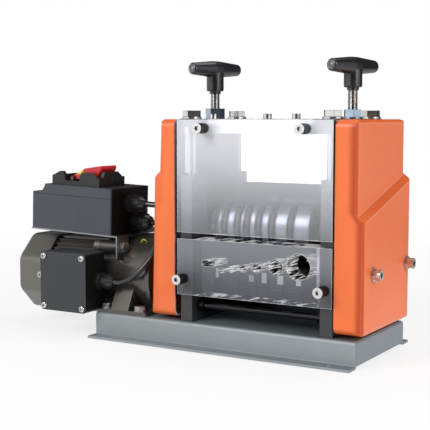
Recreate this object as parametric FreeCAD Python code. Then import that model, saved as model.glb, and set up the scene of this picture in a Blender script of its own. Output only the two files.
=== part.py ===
import FreeCAD, Part
import math
import os

# Electric wire stripping machine, in millimetres.
# X runs along the base from the motor to the gear side, Y from front to back, Z up.
# The origin is the centre of the four bolt holes in the base's flanges, on their underside.

V = FreeCAD.Vector
X_DIR = V(1, 0, 0)
Y_DIR = V(0, 1, 0)
Z_DIR = V(0, 0, 1)

# Fits and clearances
RUNNING_CLEARANCE = 0.05
SLIDE_CLEARANCE = 0.15
FREE_GAP = 0.4
HIDDEN_GAP = 1.0
# How far a cutting shape runs past the faces that it cuts
OVERRUN = 1.0

# Base channel: its length is the sum of the margins and of what stands on it
BASE_LEFT_MARGIN = 3.0
BASE_RIGHT_MARGIN = 31.0
BASE_DEPTH = 150.0
BASE_TOP_Z = 31.0
BASE_SHEET = 3.0
BASE_BEND_RADIUS = 4.0
BASE_FLANGE_WIDTH = 18.0
BASE_END_FLAP_GAP = 3.0
BASE_HOLE_INSET = 29.0
BASE_HOLE_RADIUS = 3.5

# Head: two side frames and the top plate
HEAD_INNER_WIDTH = 172.0
HEAD_DEPTH = 138.0
SIDE_FRAME_THICKNESS = 16.0
SIDE_FRAME_TOP_Z = 211.0
SLOT_WIDTH = 68.0
SLOT_BOTTOM_Z = 39.0
TONGUE_DEPTH = 4.0
TONGUE_THICKNESS = 6.0
TOP_PLATE_TOP_Z = 280.0
TOP_PLATE_THICKNESS = 17.4
TOP_PLATE_OVERHANG = 1.5
COLUMN_BOLT_SPACING_Y = 112.0
COLUMN_BOLT_DEPTH_IN_FRAME = 24.0
BASE_SCREW_DEPTH = 14.0

# Arbors and their bearings
FEED_AXIS_Z = 75.0
ARBOR_DISTANCE = 72.0
ARBOR_RADIUS = 12.5
ARBOR_END_RADIUS = 10.0
BEARING_OUTER_RADIUS = 23.5
BEARING_WIDTH = 12.0
BEARING_RACE_THICKNESS = 3.6
BEARING_FACE_GROOVE = 1.2
LOWER_BLOCK_TOP_Z = 109.0
UPPER_BLOCK_BOTTOM_Z = 117.0
UPPER_BLOCK_HEAD_HEIGHT = 34.0
UPPER_BLOCK_HEAD_WIDTH = 86.0
CARRIAGE_DROP_GAP = 5.0
LIFT_SPRING_RADIUS = 4.5
LIFT_SPRING_WIRE = 1.2
LIFT_SPRING_POCKET_DEPTH = 10.0
LIFT_SPRING_SPACING_Y = 52.0

# Stripping lanes: each round hole's place as a share of the inner width from its middle,
# its diameter and its centre's Z
ROUND_LANES = [
    (-0.2355, 6.0, 99.2),
    (-0.1587, 7.0, 101.5),
    (-0.0657, 8.5, 103.3),
    (0.0407, 11.5, 105.8),
    (0.1849, 17.5, 108.3),
    (0.3552, 30.5, 110.5),
]
FLAT_LANE_SHARE = -0.3413
FLAT_LANE_Z = 106.5
FLAT_LANE_WIDTH = 19.0
FLAT_LANE_HEIGHT = 7.5
BLADE_RADIUS = 42.0
BLADE_FLANK_RADIUS = 33.0
BLADE_THICKNESS = 9.0
SPACER_RADIUS = 38.0
END_SPACER_RADIUS = 18.5
FIRST_SPACER_WIDTH = 6.0
FEED_BAND_RADIUS = 24.5
FEED_BAND_TOOTH_DEPTH = 1.0
FEED_BAND_TEETH = 36
FEED_BAND_MARGIN = 2.0
FEED_CORE_RADIUS = 21.0
FEED_ROLLER_END_GAP = 3.0

# Gear pair behind the right cover: teeth of the feed arbor's and of the blade arbor's gear
ARBOR_GEAR_MODULE = 4.0
ARBOR_GEAR_TEETH = (15, 19)
ARBOR_GEAR_WIDTH = 14.0
ARBOR_GEAR_BACKLASH = 0.6
GEAR_OFFSET_FROM_FRAME = 4.0
PRESSURE_ANGLE = math.radians(20)

# Adjusting screws and T-handles
ADJUSTER_RADIUS = 6.0
ADJUSTER_SEAT_DEPTH = 6.0
NUT_HEIGHTS = (12.8, 10.8)
NUT_FLATS = (21.0, 19.0)
NUT_WASHERS = (0.0, 2.0)
# Turn of each hexagon from square, in degrees, as tightening left it: nuts left and right,
# and bolt heads front and rear on the left and on the right
NUT_TURNS = (33.0, 0.0)
BOLT_HEAD_TURNS = ((36.0, 8.0), (0.0, 28.0))
HANDLE_BOSS_BOTTOM = (34.5, 36.7)
HANDLE_BAR_HEIGHT = 62.0
HANDLE_BAR_LENGTH = 80.0
HANDLE_BAR_RADIUS = 10.3
HANDLE_END_RADIUS = 7.2
HANDLE_BOSS_RADIUS = 10.8
HANDLE_NECK_RADIUS = 7.0
HANDLE_NECK_HEIGHT = 3.2
HANDLE_TURN_DEGREES = -16.0
HANDLE_ROOF = 5.0
PLATE_SCREW_OFFSETS = (-69.6, 4.7, 42.6)
PLATE_SCREWS_Y = -45.0

# Covers
COVER_WALL = 2.5
COVER_HALF_DEPTH = 72.4
COVER_BOTTOM_Z = 36.0
COVER_TOP_Z = 279.5
COVER_CORNER_RADIUS = 9.0
COVER_EDGE_RADIUS = 5.0
COVER_STEP_FRONT_Z = 170.1
COVER_STEP_BACK_Z = 212.9
COVER_STEP_CHAMFER = 6.2
# Fall of the step's inside below its outside, as a multiple of the wall
COVER_STEP_DROP = 1.3
RIGHT_COVER_GAP = 2.5
RIGHT_COVER_LIP_RADIUS = 6.0
LEFT_COVER_GAP = 7.0
LEFT_COVER_LIP_RADIUS = 0.0
# Depths of a cover's upper and lower part, each at the bottom and at the top of the cover
RIGHT_COVER_UPPER_DEPTHS = (27.5, 27.5)
RIGHT_COVER_LOWER_DEPTHS = (36.0, 36.0)
LEFT_COVER_UPPER_DEPTHS = (30.0, 20.5)
LEFT_COVER_LOWER_DEPTHS = (35.5, 28.5)
# Y and Z of each cover's side bolts, left and right
COVER_BOLT_PLACES = ([(43.5, 104.0), (-43.5, 55.0)], [(-43.5, 104.0), (62.0, 105.0)])
COVER_SEAT_GAP = 0.3
COVER_BOLT_SETBACK = 2.0
STANDOFF_RADIUS = 7.0
DRIVE_HOLE_RADIUS = 17.0

# Clear guard and guide block
GUARD_THICKNESS = 6.0
GUARD_BOTTOM_Z = 142.0
GUARD_SCREW_INSETS = (21.5, 16.2)
GUARD_SCREWS_Z = 268.8
BLOCK_BOTTOM_Z = 65.5
BLOCK_TOP_Z = 134.5
BLOCK_BODY_DEPTH = 30.0
BLOCK_SIDE_GAP = 1.0
BLOCK_SCREW_Z = 86.0
KNURLED_HEAD_RADIUS = 6.2
KNURLED_HEAD_LENGTH = 18.0
KNURLED_RIDGES = 24
KNURLED_RIDGE_DEPTH = 0.4

# Tie rod and closing plate
TIE_ROD_RADIUS = 4.0
TIE_ROD_Y = -52.0
TIE_ROD_Z = 50.0
TIE_ROD_NUT_FLATS = 13.0
TIE_ROD_NUT_LENGTH = 9.0
REAR_PLATE_FRONT_Y = 56.0
REAR_PLATE_THICKNESS = 10.0
REAR_PLATE_FLOOR_GAP = 0.5
REAR_PLATE_TOP_Z = 197.0
OUTLET_BOTTOM_Z = 97.0
OUTLET_TOP_Z = 131.0
OUTLET_SIDE_MARGIN = 6.0
OUTLET_CORNER_RADIUS = 5.0
REAR_PLATE_STEP = 6.0
REAR_SCREW_INSETS = (46.5, 15.0)

# Motor and gearbox
MOTOR_AXIS_Z = 68.5
MOTOR_ACROSS_FLATS = 104.0
MOTOR_CAP_LENGTH = 47.0
MOTOR_CAP_WALL = 2.5
MOTOR_CAP_CORNER_RADIUS = 16.0
MOTOR_CAP_SLOTS = 12
MOTOR_CAP_SLOT_WIDTH = 4.0
MOTOR_CAP_SLOT_SPAN = (14.0, 34.0)
MOTOR_BODY_LENGTH = 94.0
MOTOR_BODY_ACROSS_FLATS = 90.0
MOTOR_BODY_CORNER_RADIUS = 8.0
MOTOR_BORE_RADIUS = 39.0
MOTOR_FIN_HEIGHT = 5.5
MOTOR_FIN_THICKNESS = 1.8
MOTOR_FINS_PER_SIDE = 5
MOTOR_FIN_START = 3.0
MOTOR_FIN_ROOT = 2.0
# Share of a facet's width over which its fins spread
MOTOR_FIN_SPREAD = 0.85
STATOR_LENGTH = 60.0
ROTOR_RADIUS = 24.0
AIR_GAP = 0.6
ROTOR_SHAFT_RADIUS = 7.5
GEARBOX_BELL_LENGTH = 75.0
GEARBOX_FLANGE_THICKNESS = 6.0
GEARBOX_OVERHANG = 13.0
GEARBOX_LEFT_RADIUS = 49.0
GEARBOX_BELL_RADIUS = 57.0
GEARBOX_FLANGE_RADIUS = 58.5
GEARBOX_WALL = 3.5
GEARBOX_NOSE_RADIUS = 26.0
GEARBOX_NOSE_LENGTH = 9.0
TIE_BOSS_Y = 47.0
TIE_BOSS_RISES = (39.0, -36.0)
TIE_BOSS_RADIUS = 8.0
TIE_BOSS_LENGTH = 31.5
FOOT_TO_HEAD = 52.0
FOOT_LENGTH = 72.0
FOOT_THICKNESS = 5.0
FOOT_LEG_SPAN = (18.0, 45.0)
FOOT_LEG_INNER_Y = 30.0
FOOT_LEG_TOP_Y = 57.0
FOOT_LEG_DROP = 10.0
FOOT_BOLT_INSETS = (8.0, 13.0)
FOOT_BOLT_Y = 64.4
FOOT_BOLT_CLEARANCE = 24.0
FIRST_STAGE_MODULE = 0.8
FIRST_STAGE_TEETH = (14, 50)
SECOND_STAGE_MODULE = 1.0
SECOND_STAGE_TEETH = (14, 38)
FIRST_STAGE_START = 41.0
STAGE_GAP = 5.0
SMALL_GEAR_ADDENDUM = 0.8
SMALL_GEAR_WIDTH = 9.0
SMALL_GEAR_BACKLASH = 0.25
OUTPUT_SHAFT_RADIUS = 7.5
COUPLING_RADIUS = 15.5
COUPLING_HUB = 11.0
COUPLING_SPIDER = 7.0
COUPLING_JAWS = 3
COUPLING_STAR_RADIUS = 9.6
COUPLING_FRAME_GAP = 6.0
MOTOR_FLANGE_THICKNESS = 8.0
MOTOR_END_SHIELD = 4.0
# Width of the ledge that a bearing stands against, and of the ring of metal round its seat
BEARING_SHOULDER = 3.0
COUNTER_SEAT_WALL = 2.5
# Bearings: bore radius, outer radius, width
MOTOR_BEARING = (7.5, 16.0, 9.0)
OUTPUT_BEARING = (7.5, 16.0, 9.0)
COUNTER_BEARING = (4.0, 8.0, 5.0)
END_CAP_SCREW_INSET = 7.0
END_CAP_POST_HALF = 5.0
END_CAP_POST_LENGTH = 12.0
FAN_RADIUS = 41.0
FAN_HUB_RADIUS = 12.0
FAN_WIDTH = 16.0
FAN_SHEET = 2.0
FAN_END_GAP = 5.0
FAN_BLADES = 8

# Terminal box on the motor's front
TERMINAL_BOX_WIDTH = 74.0
TERMINAL_BOX_OVERLAP = 9.0
TERMINAL_BOX_Z = (31.0, 108.0)
TERMINAL_BOX_FRONT_Y = -95.0
TERMINAL_BOX_BACK_Y = -55.0
TERMINAL_LID_THICKNESS = 7.0
TERMINAL_WALL = 2.5
TERMINAL_CORNER_RADIUS = 5.0
TERMINAL_SCREW_INSET = 6.0
TERMINAL_SCREW_RADIUS = 2.0
TERMINAL_SCREW_LENGTH = 12.0
TERMINAL_SCREW_HEAD = (4.2, 3.0)
TERMINAL_POST_RADIUS = 5.0
# Insets of the motor's pad behind the box, along X and along Z
TERMINAL_PAD_INSETS = (6.0, 12.0)
TERMINAL_GLAND_Y = -68.5
TERMINAL_GLAND_Z = 71.0
TERMINAL_GLAND_LENGTH = 24.4

# Switch box, drawn level and then tilted down to the right about its bracket's bend
BOX_TILT_DEGREES = 2.0
BRACKET_Z = 129.0
BRACKET_SHEET = 2.0
BRACKET_TAB_LENGTH = 32.0
BRACKET_FRONT_Y = -60.0
BRACKET_BACK_Y = 60.0
BRACKET_TAB_WIDTH = 26.0
SWITCH_BOX_WIDTH = 132.7
SWITCH_BOX_SETBACK = 9.8
SWITCH_BOX_Y = (-60.0, 25.0)
SWITCH_BOX_HEIGHT = 47.0
SWITCH_BOX_WALL = 2.5
SWITCH_BOX_CORNER_RADIUS = 3.0
SWITCH_LID_HEIGHT = 13.4
SWITCH_LID_RIM = 2.0
SWITCH_LID_LEFT_STEP = 13.0
SWITCH_LID_COVE = 9.0
MODULE_INSET = 31.5
MODULE_WIDTH = 77.7
MODULE_Y = (-56.0, 0.7)
MODULE_SEAT_RIM = 6.0
MODULE_HEIGHT = 12.6
MODULE_GUARD_HEIGHT = 18.2
MODULE_GUARD_THICKNESS = 5.0
MODULE_RECESS_DEPTH = 6.5
MODULE_NOTCH = (21.5, 45.5)
FLAP_INSET = 28.5
FLAP_LENGTH = 44.0
FLAP_Y = (-47.0, -13.0)
FLAP_PIN_RADIUS = 1.5
BUTTON_TRAVEL = 3.0
BUTTON_SIZE_X = 14.0
BUTTON_SIZE_Y = 20.0
BUTTON_HEIGHT = 5.0
BUTTON_CORNER_RADIUS = 2.0

# Glands and cords: places are Y and Z on the switch box's right wall
UPPER_GLAND_PLACE = (-22.0, 169.8)
LOWER_GLAND_PLACE = (-8.5, 144.0)
SWITCH_GLAND_LENGTH = 27.5
LOWER_GLAND_DOME = 12.0
LOWER_GLAND_FLATS = 24.0
GLAND_HEX_FLATS = 22.0
GLAND_HEX_LENGTH = 7.0
GLAND_DOME_RADIUS = 10.0
MOTOR_CABLE_RADIUS = 3.5
MAINS_CORD_RADIUS = 3.75
CABLE_LEAD = 9.0
MAINS_COIL_LEAD = 20.0
MAINS_COIL_REACH = 211.0
MAINS_COIL_STANDOFF = 67.0
MAINS_COIL_RADIUS = 54.0
MAINS_COIL_CLIMB_DIP = 1.8
MAINS_COIL_STEP = 8.15
MAINS_COIL_TURNS_IN = 2.5
MAINS_COIL_TURNS_OUT = 2.0
MAINS_PLUG_LENGTH = 40.0
MAINS_PLUG_WIDTH = 25.0
PLUG_LEAD = 42.0
PLUG_FLOOR_GAP = 0.3
PLUG_PIN_LENGTH = 17.0
PLUG_RELIEF_LENGTH = 22.0
PLUG_RELIEF_WALLS = (1.0, 3.5)

# Metric hardware: hole or shank radius, head radius or flats, head height
M4_RADIUS = 2.0
M4_HEAD_RADIUS = 4.0
M4_HEAD_HEIGHT = 3.0
M6_RADIUS = 3.0
M6_HEAD_RADIUS = 5.0
M6_HEAD_HEIGHT = 6.0
M6_THREAD_LENGTH = 14.0
M6_HOLE_DEPTH = 16.0
M8_RADIUS = 4.0
M8_HEAD_RADIUS = 6.5
M8_HEAD_HEIGHT = 8.0
M8_HEX_FLATS = 13.0
M8_HEX_HEIGHT = 5.3
M8_WASHER_RADIUS = 8.5
M8_WASHER_THICKNESS = 1.6
M12_RADIUS = 6.0
M12_HEX_FLATS = 19.0
M12_HEX_HEIGHT = 7.5
M12_WASHER_RADIUS = 12.0
M12_WASHER_THICKNESS = 2.5
SOCKET_DEPTH_SHARE = 0.5

# Values worked out from the sizes above, first along X
HEAD_OUTER_WIDTH = HEAD_INNER_WIDTH + 2 * SIDE_FRAME_THICKNESS
BASE_LENGTH = BASE_LEFT_MARGIN + FOOT_LENGTH + FOOT_TO_HEAD + HEAD_OUTER_WIDTH + BASE_RIGHT_MARGIN
HEAD_CENTRE_X = BASE_LENGTH / 2 - BASE_RIGHT_MARGIN - HEAD_OUTER_WIDTH / 2
FRAME_INNER_X = (HEAD_CENTRE_X - HEAD_INNER_WIDTH / 2, HEAD_CENTRE_X + HEAD_INNER_WIDTH / 2)
FRAME_OUTER_X = (FRAME_INNER_X[0] - SIDE_FRAME_THICKNESS, FRAME_INNER_X[1] + SIDE_FRAME_THICKNESS)
FRAME_MIDDLE_X = (FRAME_INNER_X[0] - SIDE_FRAME_THICKNESS / 2, FRAME_INNER_X[1] + SIDE_FRAME_THICKNESS / 2)
FLAT_LANE_X = HEAD_CENTRE_X + FLAT_LANE_SHARE * HEAD_INNER_WIDTH
LANES = [(HEAD_CENTRE_X + share * HEAD_INNER_WIDTH, diameter, z) for share, diameter, z in ROUND_LANES]
LANE_CENTRES = [FLAT_LANE_X] + [lane[0] for lane in LANES]
LANE_WIDTHS = [FLAT_LANE_WIDTH] + [lane[1] for lane in LANES]
GUARD_SCREWS_X = (FRAME_INNER_X[0] + GUARD_SCREW_INSETS[0], FRAME_INNER_X[1] - GUARD_SCREW_INSETS[1])
PLATE_SCREWS_X = [HEAD_CENTRE_X + offset for offset in PLATE_SCREW_OFFSETS]
FOOT_LEFT_X = BASE_LEFT_MARGIN - BASE_LENGTH / 2
FOOT_RIGHT_X = FOOT_LEFT_X + FOOT_LENGTH
FOOT_BOLTS_X = (FOOT_LEFT_X + FOOT_BOLT_INSETS[0], FOOT_RIGHT_X - FOOT_BOLT_INSETS[1])
GEARBOX_LEFT_X = FOOT_LEFT_X - GEARBOX_OVERHANG
GEARBOX_FLANGE_X = GEARBOX_LEFT_X + GEARBOX_BELL_LENGTH
GEARBOX_RIGHT_X = GEARBOX_FLANGE_X + GEARBOX_FLANGE_THICKNESS
TIE_BOSS_RIGHT_X = GEARBOX_LEFT_X + TIE_BOSS_LENGTH
BRACKET_BEND_X = TIE_BOSS_RIGHT_X + BRACKET_SHEET
MOTOR_CAP_RIGHT_X = GEARBOX_LEFT_X - MOTOR_BODY_LENGTH
MOTOR_CAP_LEFT_X = MOTOR_CAP_RIGHT_X - MOTOR_CAP_LENGTH
END_CAP_SCREW_X = MOTOR_CAP_RIGHT_X - END_CAP_SCREW_INSET
TERMINAL_BOX_RIGHT_X = GEARBOX_LEFT_X + TERMINAL_BOX_OVERLAP
TERMINAL_BOX_X = (TERMINAL_BOX_RIGHT_X - TERMINAL_BOX_WIDTH, TERMINAL_BOX_RIGHT_X)
SWITCH_BOX_RIGHT_X = BRACKET_BEND_X - SWITCH_BOX_SETBACK
SWITCH_BOX_X = (SWITCH_BOX_RIGHT_X - SWITCH_BOX_WIDTH, SWITCH_BOX_RIGHT_X)
MODULE_X = (SWITCH_BOX_X[0] + MODULE_INSET, SWITCH_BOX_X[0] + MODULE_INSET + MODULE_WIDTH)
FLAP_X = (MODULE_X[0] + FLAP_INSET, MODULE_X[0] + FLAP_INSET + FLAP_LENGTH)

# Then along Y and Z
BASE_BACK_Y = BASE_DEPTH / 2 + BASE_FLANGE_WIDTH
MAINS_COIL_CENTRE = (GEARBOX_LEFT_X + MAINS_COIL_REACH, BASE_BACK_Y + MAINS_COIL_STANDOFF)
HEAD_FRONT_Y = -HEAD_DEPTH / 2
HEAD_BACK_Y = HEAD_DEPTH / 2
BLADE_AXIS_Z = FEED_AXIS_Z + ARBOR_DISTANCE
UPPER_HEAD_BOTTOM_Z = SIDE_FRAME_TOP_Z + CARRIAGE_DROP_GAP
UPPER_HEAD_TOP_Z = UPPER_HEAD_BOTTOM_Z + UPPER_BLOCK_HEAD_HEIGHT
TOP_PLATE_BOTTOM_Z = TOP_PLATE_TOP_Z - TOP_PLATE_THICKNESS
REAR_PLATE_BOTTOM_Z = BASE_TOP_Z + REAR_PLATE_FLOOR_GAP
BASE_UNDER_TOP_Z = BASE_TOP_Z - BASE_SHEET
SIDES = (-1, 1)


def place(axis, a, b, level):
    """The point (a, b) of the plane across an axis, at a level along that axis."""
    if axis == "X":
        return V(level, a, b)
    if axis == "Y":
        return V(a, level, b)
    return V(a, b, level)


def along(axis):
    return {"X": X_DIR, "Y": Y_DIR, "Z": Z_DIR}[axis]


def outline(axis, points, level):
    """A closed wire through corners (a, b) or (a, b, radius), on the plane across an axis."""
    corners = []
    for index, corner in enumerate(points):
        here = V(corner[0], corner[1], 0)
        radius = corner[2] if len(corner) > 2 else 0
        if radius <= 0:
            corners.append((here, here, here))
            continue
        before = points[index - 1]
        after = points[(index + 1) % len(points)]
        back = (V(before[0], before[1], 0) - here).normalize()
        ahead = (V(after[0], after[1], 0) - here).normalize()
        half_angle = back.getAngle(ahead) / 2
        reach = radius / math.tan(half_angle)
        centre = here + (back + ahead).normalize() * (radius / math.sin(half_angle))
        middle = centre + (here - centre).normalize() * radius
        corners.append((here + back * reach, middle, here + ahead * reach))
    edges = []
    for index, (start, middle, end) in enumerate(corners):
        following = corners[(index + 1) % len(corners)][0]
        a, m, b, c = [place(axis, p.x, p.y, level) for p in (start, middle, end, following)]
        if (b - a).Length > 1e-6:
            edges.append(Part.Arc(a, m, b).toShape())
        if (c - b).Length > 1e-6:
            edges.append(Part.makeLine(b, c))
    return Part.Wire(edges)


def prism(axis, points, start, end):
    """An outline carried straight along an axis."""
    face = Part.Face(outline(axis, points, start))
    return face.extrude(along(axis) * (end - start))


def block(x, y, z):
    """A box between two values on each axis."""
    return Part.makeBox(x[1] - x[0], y[1] - y[0], z[1] - z[0], V(x[0], y[0], z[0]))


def rounded(a, b, radius):
    """The four rounded corners of a rectangle between two values on each axis."""
    return [(a[0], b[0], radius), (a[1], b[0], radius), (a[1], b[1], radius), (a[0], b[1], radius)]


def rod(axis, radius, a, b, start, end):
    """A cylinder along an axis through (a, b)."""
    return Part.makeCylinder(radius, end - start, place(axis, a, b, start), along(axis))


def hole(axis, radius, a, b, start, end):
    """A cutting cylinder along an axis that runs a little past both ends."""
    return rod(axis, radius, a, b, start - OVERRUN, end + OVERRUN)


def tube(axis, outer, inner, a, b, start, end):
    """A hollow cylinder along an axis through (a, b)."""
    return rod(axis, outer, a, b, start, end).cut(hole(axis, inner, a, b, start, end))


def hexagon(axis, flats, a, b, start, end, turn=0):
    """A six-sided prism along an axis through (a, b), turned about it by a number of degrees."""
    corner = flats / math.sqrt(3)
    points = []
    for side in range(6):
        angle = math.radians(60 * side + turn)
        points.append((a + corner * math.cos(angle), b + corner * math.sin(angle)))
    return prism(axis, points, start, end)


def turned(axis, a, b, profile):
    """A solid of revolution: profile corners are (level along the axis, radius[, rounding])."""
    if axis == "X":
        wire = outline("Z", [(p[0], a + p[1], *p[2:]) for p in profile], b)
    elif axis == "Y":
        wire = outline("Z", [(a + p[1], p[0], *p[2:]) for p in profile], b)
    else:
        wire = outline("Y", [(a + p[1], p[0], *p[2:]) for p in profile], b)
    return Part.Face(wire).revolve(place(axis, a, b, 0), along(axis), 360)


def joined(shapes):
    result = shapes[0]
    for shape in shapes[1:]:
        result = result.fuse(shape)
    return result.removeSplitter()


def less(shape, tools):
    for tool in tools:
        shape = shape.cut(tool)
    return shape


def turned_about_z(shape, centre_x, degrees):
    copy = shape.copy()
    copy.rotate(V(centre_x, 0, 0), Z_DIR, degrees)
    return copy


def save(node, *shapes):
    """Write one sub-part; several shapes are separate solids of one group."""
    solids = [solid for shape in shapes for solid in shape.Solids]
    for solid in solids:
        if not solid.isValid() or solid.Volume <= 0:
            raise ValueError("bad solid in " + node)
    shape = solids[0] if len(solids) == 1 else Part.makeCompound(solids)
    shape.exportStep("parts/" + node + ".step")
    print(node, len(solids), "solids", round(sum(solid.Volume for solid in solids) / 1000, 2), "cm3")


def socket_screw(axis, a, b, seat, direction, radius, head_radius, head_height, length):
    """A socket head screw whose head sits on a seat and faces a direction along the axis."""
    head_end = seat + direction * head_height
    shank_end = seat - direction * length
    head = rod(axis, head_radius, a, b, min(seat, head_end), max(seat, head_end))
    shank = rod(axis, radius, a, b, min(seat, shank_end), max(seat, shank_end))
    depth = head_height * SOCKET_DEPTH_SHARE
    floor = head_end - direction * depth
    mouth = head_end + direction
    socket = hexagon(axis, head_radius, a, b, min(floor, mouth), max(floor, mouth))
    return joined([head, shank]).cut(socket)


def hex_bolt(axis, a, b, seat, direction, radius, flats, height, length, turn=0):
    """A hexagon head bolt whose head sits on a seat and faces a direction along the axis."""
    head_end = seat + direction * height
    shank_end = seat - direction * length
    head = hexagon(axis, flats, a, b, min(seat, head_end), max(seat, head_end), turn)
    shank = rod(axis, radius, a, b, min(seat, shank_end), max(seat, shank_end))
    return joined([head, shank])


def gear(module, teeth, backlash, centre, start, end, tooth_angle, addendum=1.0):
    """An involute spur gear along X, one of whose teeth points at tooth_angle from +Y towards +Z."""
    pitch = module * teeth / 2
    base = pitch * math.cos(PRESSURE_ANGLE)
    tip = pitch + addendum * module
    root = pitch - 1.25 * module
    half_tooth = math.pi / (2 * teeth) - backlash / (2 * pitch)

    def half_width(radius):
        slope = math.acos(base / radius) if radius > base else 0
        spread = math.tan(PRESSURE_ANGLE) - PRESSURE_ANGLE
        return half_tooth + spread - (math.tan(slope) - slope)

    foot = max(base, root + 0.05 * module)
    radii = [root] + [foot + (tip - foot) * step / 3 for step in range(4)]
    points = []
    for tooth in range(teeth):
        middle = tooth_angle + 2 * math.pi * tooth / teeth
        flank = [(middle - half_width(radius), radius) for radius in radii]
        flank += [(middle + half_width(radius), radius) for radius in reversed(radii)]
        points += [(centre[0] + r * math.cos(t), centre[1] + r * math.sin(t)) for t, r in flank]
    return prism("X", points, start, end)


def bearing(axis, a, b, start, end, inner, outer):
    """A ball bearing drawn as one ring with a groove between its races on both faces."""
    ring = tube(axis, outer, inner, a, b, start, end)
    race = min(BEARING_RACE_THICKNESS, (outer - inner) / 3)
    groove = BEARING_FACE_GROOVE
    tools = []
    for low, high in ((start - 1, start + groove), (end - groove, end + 1)):
        tools.append(tube(axis, outer - race, inner + race, a, b, low, high))
    return less(ring, tools)


def make_base():
    half = BASE_DEPTH / 2
    tip = half + BASE_FLANGE_WIDTH
    inner = BASE_BEND_RADIUS - BASE_SHEET
    section = [
        (-tip, 0), (-half + BASE_SHEET, 0, BASE_BEND_RADIUS), (-half + BASE_SHEET, BASE_UNDER_TOP_Z, inner),
        (half - BASE_SHEET, BASE_UNDER_TOP_Z, inner), (half - BASE_SHEET, 0, BASE_BEND_RADIUS), (tip, 0),
        (tip, BASE_SHEET), (half, BASE_SHEET, inner), (half, BASE_TOP_Z, BASE_BEND_RADIUS),
        (-half, BASE_TOP_Z, BASE_BEND_RADIUS), (-half, BASE_SHEET, inner), (-tip, BASE_SHEET),
    ]
    end = BASE_LENGTH / 2
    channel = prism("X", section, -end, end)
    flap_y = half - BASE_SHEET - HIDDEN_GAP / 2
    flap_z = (BASE_END_FLAP_GAP, BASE_TOP_Z - BASE_BEND_RADIUS / 2)
    flap = block((end - BASE_SHEET, end), (-flap_y, flap_y), flap_z)
    rim = prism("Y", [(end - 2 * BASE_BEND_RADIUS, BASE_UNDER_TOP_Z), (end, BASE_UNDER_TOP_Z),
                      (end, BASE_TOP_Z, BASE_BEND_RADIUS), (end - 2 * BASE_BEND_RADIUS, BASE_TOP_Z)],
                -half + BASE_BEND_RADIUS, half - BASE_BEND_RADIUS)
    edge = block((end - BASE_BEND_RADIUS, end + 1), (-half, half), (BASE_UNDER_TOP_Z, BASE_TOP_Z + 1))
    keep = prism("Y", [(end - 2 * BASE_BEND_RADIUS, 0), (end, 0), (end, BASE_TOP_Z, BASE_BEND_RADIUS),
                       (end - 2 * BASE_BEND_RADIUS, BASE_TOP_Z)], -half, half)
    channel = channel.cut(edge.cut(keep))
    shape = joined([channel, flap, rim])
    holes = []
    hole_x = end - BASE_HOLE_INSET
    hole_y = half + BASE_FLANGE_WIDTH / 2
    for x in (-hole_x, hole_x):
        for y in (-hole_y, hole_y):
            holes.append(rod("Z", BASE_HOLE_RADIUS, x, y, -1, BASE_SHEET + 1))
    for x in FRAME_MIDDLE_X:
        for side in SIDES:
            holes.append(rod("Z", M8_RADIUS, x, side * frame_arm_middle(), 0, BASE_TOP_Z + 1))
    for x in FOOT_BOLTS_X:
        for side in SIDES:
            holes.append(rod("Z", M8_RADIUS, x, side * FOOT_BOLT_Y, 0, BASE_TOP_Z + 1))
    return less(shape, holes)


def frame_arm_middle():
    """Distance of a side frame's arm from the middle, half way between slot and edge."""
    return (SLOT_WIDTH / 2 + TONGUE_DEPTH + HEAD_DEPTH / 2) / 2


def make_side_frame(side):
    """A U-shaped plate, open upwards, with grooves in its slot for the bearing blocks' tongues."""
    inner = FRAME_INNER_X[side]
    outer = FRAME_OUTER_X[side]
    low, high = min(inner, outer), max(inner, outer)
    slot = SLOT_WIDTH / 2
    plate = prism("X", [
        (HEAD_FRONT_Y, BASE_TOP_Z), (HEAD_BACK_Y, BASE_TOP_Z), (HEAD_BACK_Y, SIDE_FRAME_TOP_Z),
        (slot, SIDE_FRAME_TOP_Z), (slot, SLOT_BOTTOM_Z), (-slot, SLOT_BOTTOM_Z),
        (-slot, SIDE_FRAME_TOP_Z), (HEAD_FRONT_Y, SIDE_FRAME_TOP_Z)], low, high)
    middle = FRAME_MIDDLE_X[side]
    groove = block((middle - TONGUE_THICKNESS / 2, middle + TONGUE_THICKNESS / 2),
                   (-slot - TONGUE_DEPTH, slot + TONGUE_DEPTH), (SLOT_BOTTOM_Z, SIDE_FRAME_TOP_Z + 1))
    tools = [groove]
    for sign in SIDES:
        arm = sign * frame_arm_middle()
        column = sign * COLUMN_BOLT_SPACING_Y / 2
        bottom = SIDE_FRAME_TOP_Z - COLUMN_BOLT_DEPTH_IN_FRAME
        tools.append(rod("Z", M12_RADIUS, middle, column, bottom, SIDE_FRAME_TOP_Z + 1))
        tools.append(rod("Z", M8_RADIUS, middle, arm, BASE_TOP_Z - 1, BASE_TOP_Z + BASE_SCREW_DEPTH))
    tools.append(hole("X", TIE_ROD_RADIUS, TIE_ROD_Y, TIE_ROD_Z, low, high))
    for y, z in COVER_BOLT_PLACES[side]:
        tools.append(hole("X", M8_RADIUS, y, z, low, high))
    for z in rear_plate_screws_z():
        tools.append(hole("X", M6_RADIUS, rear_plate_middle_y(), z, low, high))
    tools.append(rod("Y", M6_RADIUS, middle, BLOCK_SCREW_Z,
                     HEAD_FRONT_Y - OVERRUN, HEAD_FRONT_Y + M6_HOLE_DEPTH))
    return less(plate, tools)


def rear_plate_middle_y():
    return REAR_PLATE_FRONT_Y + REAR_PLATE_THICKNESS / 2


def rear_plate_screws_z():
    return (REAR_PLATE_BOTTOM_Z + REAR_SCREW_INSETS[0], REAR_PLATE_TOP_Z - REAR_SCREW_INSETS[1])


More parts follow.
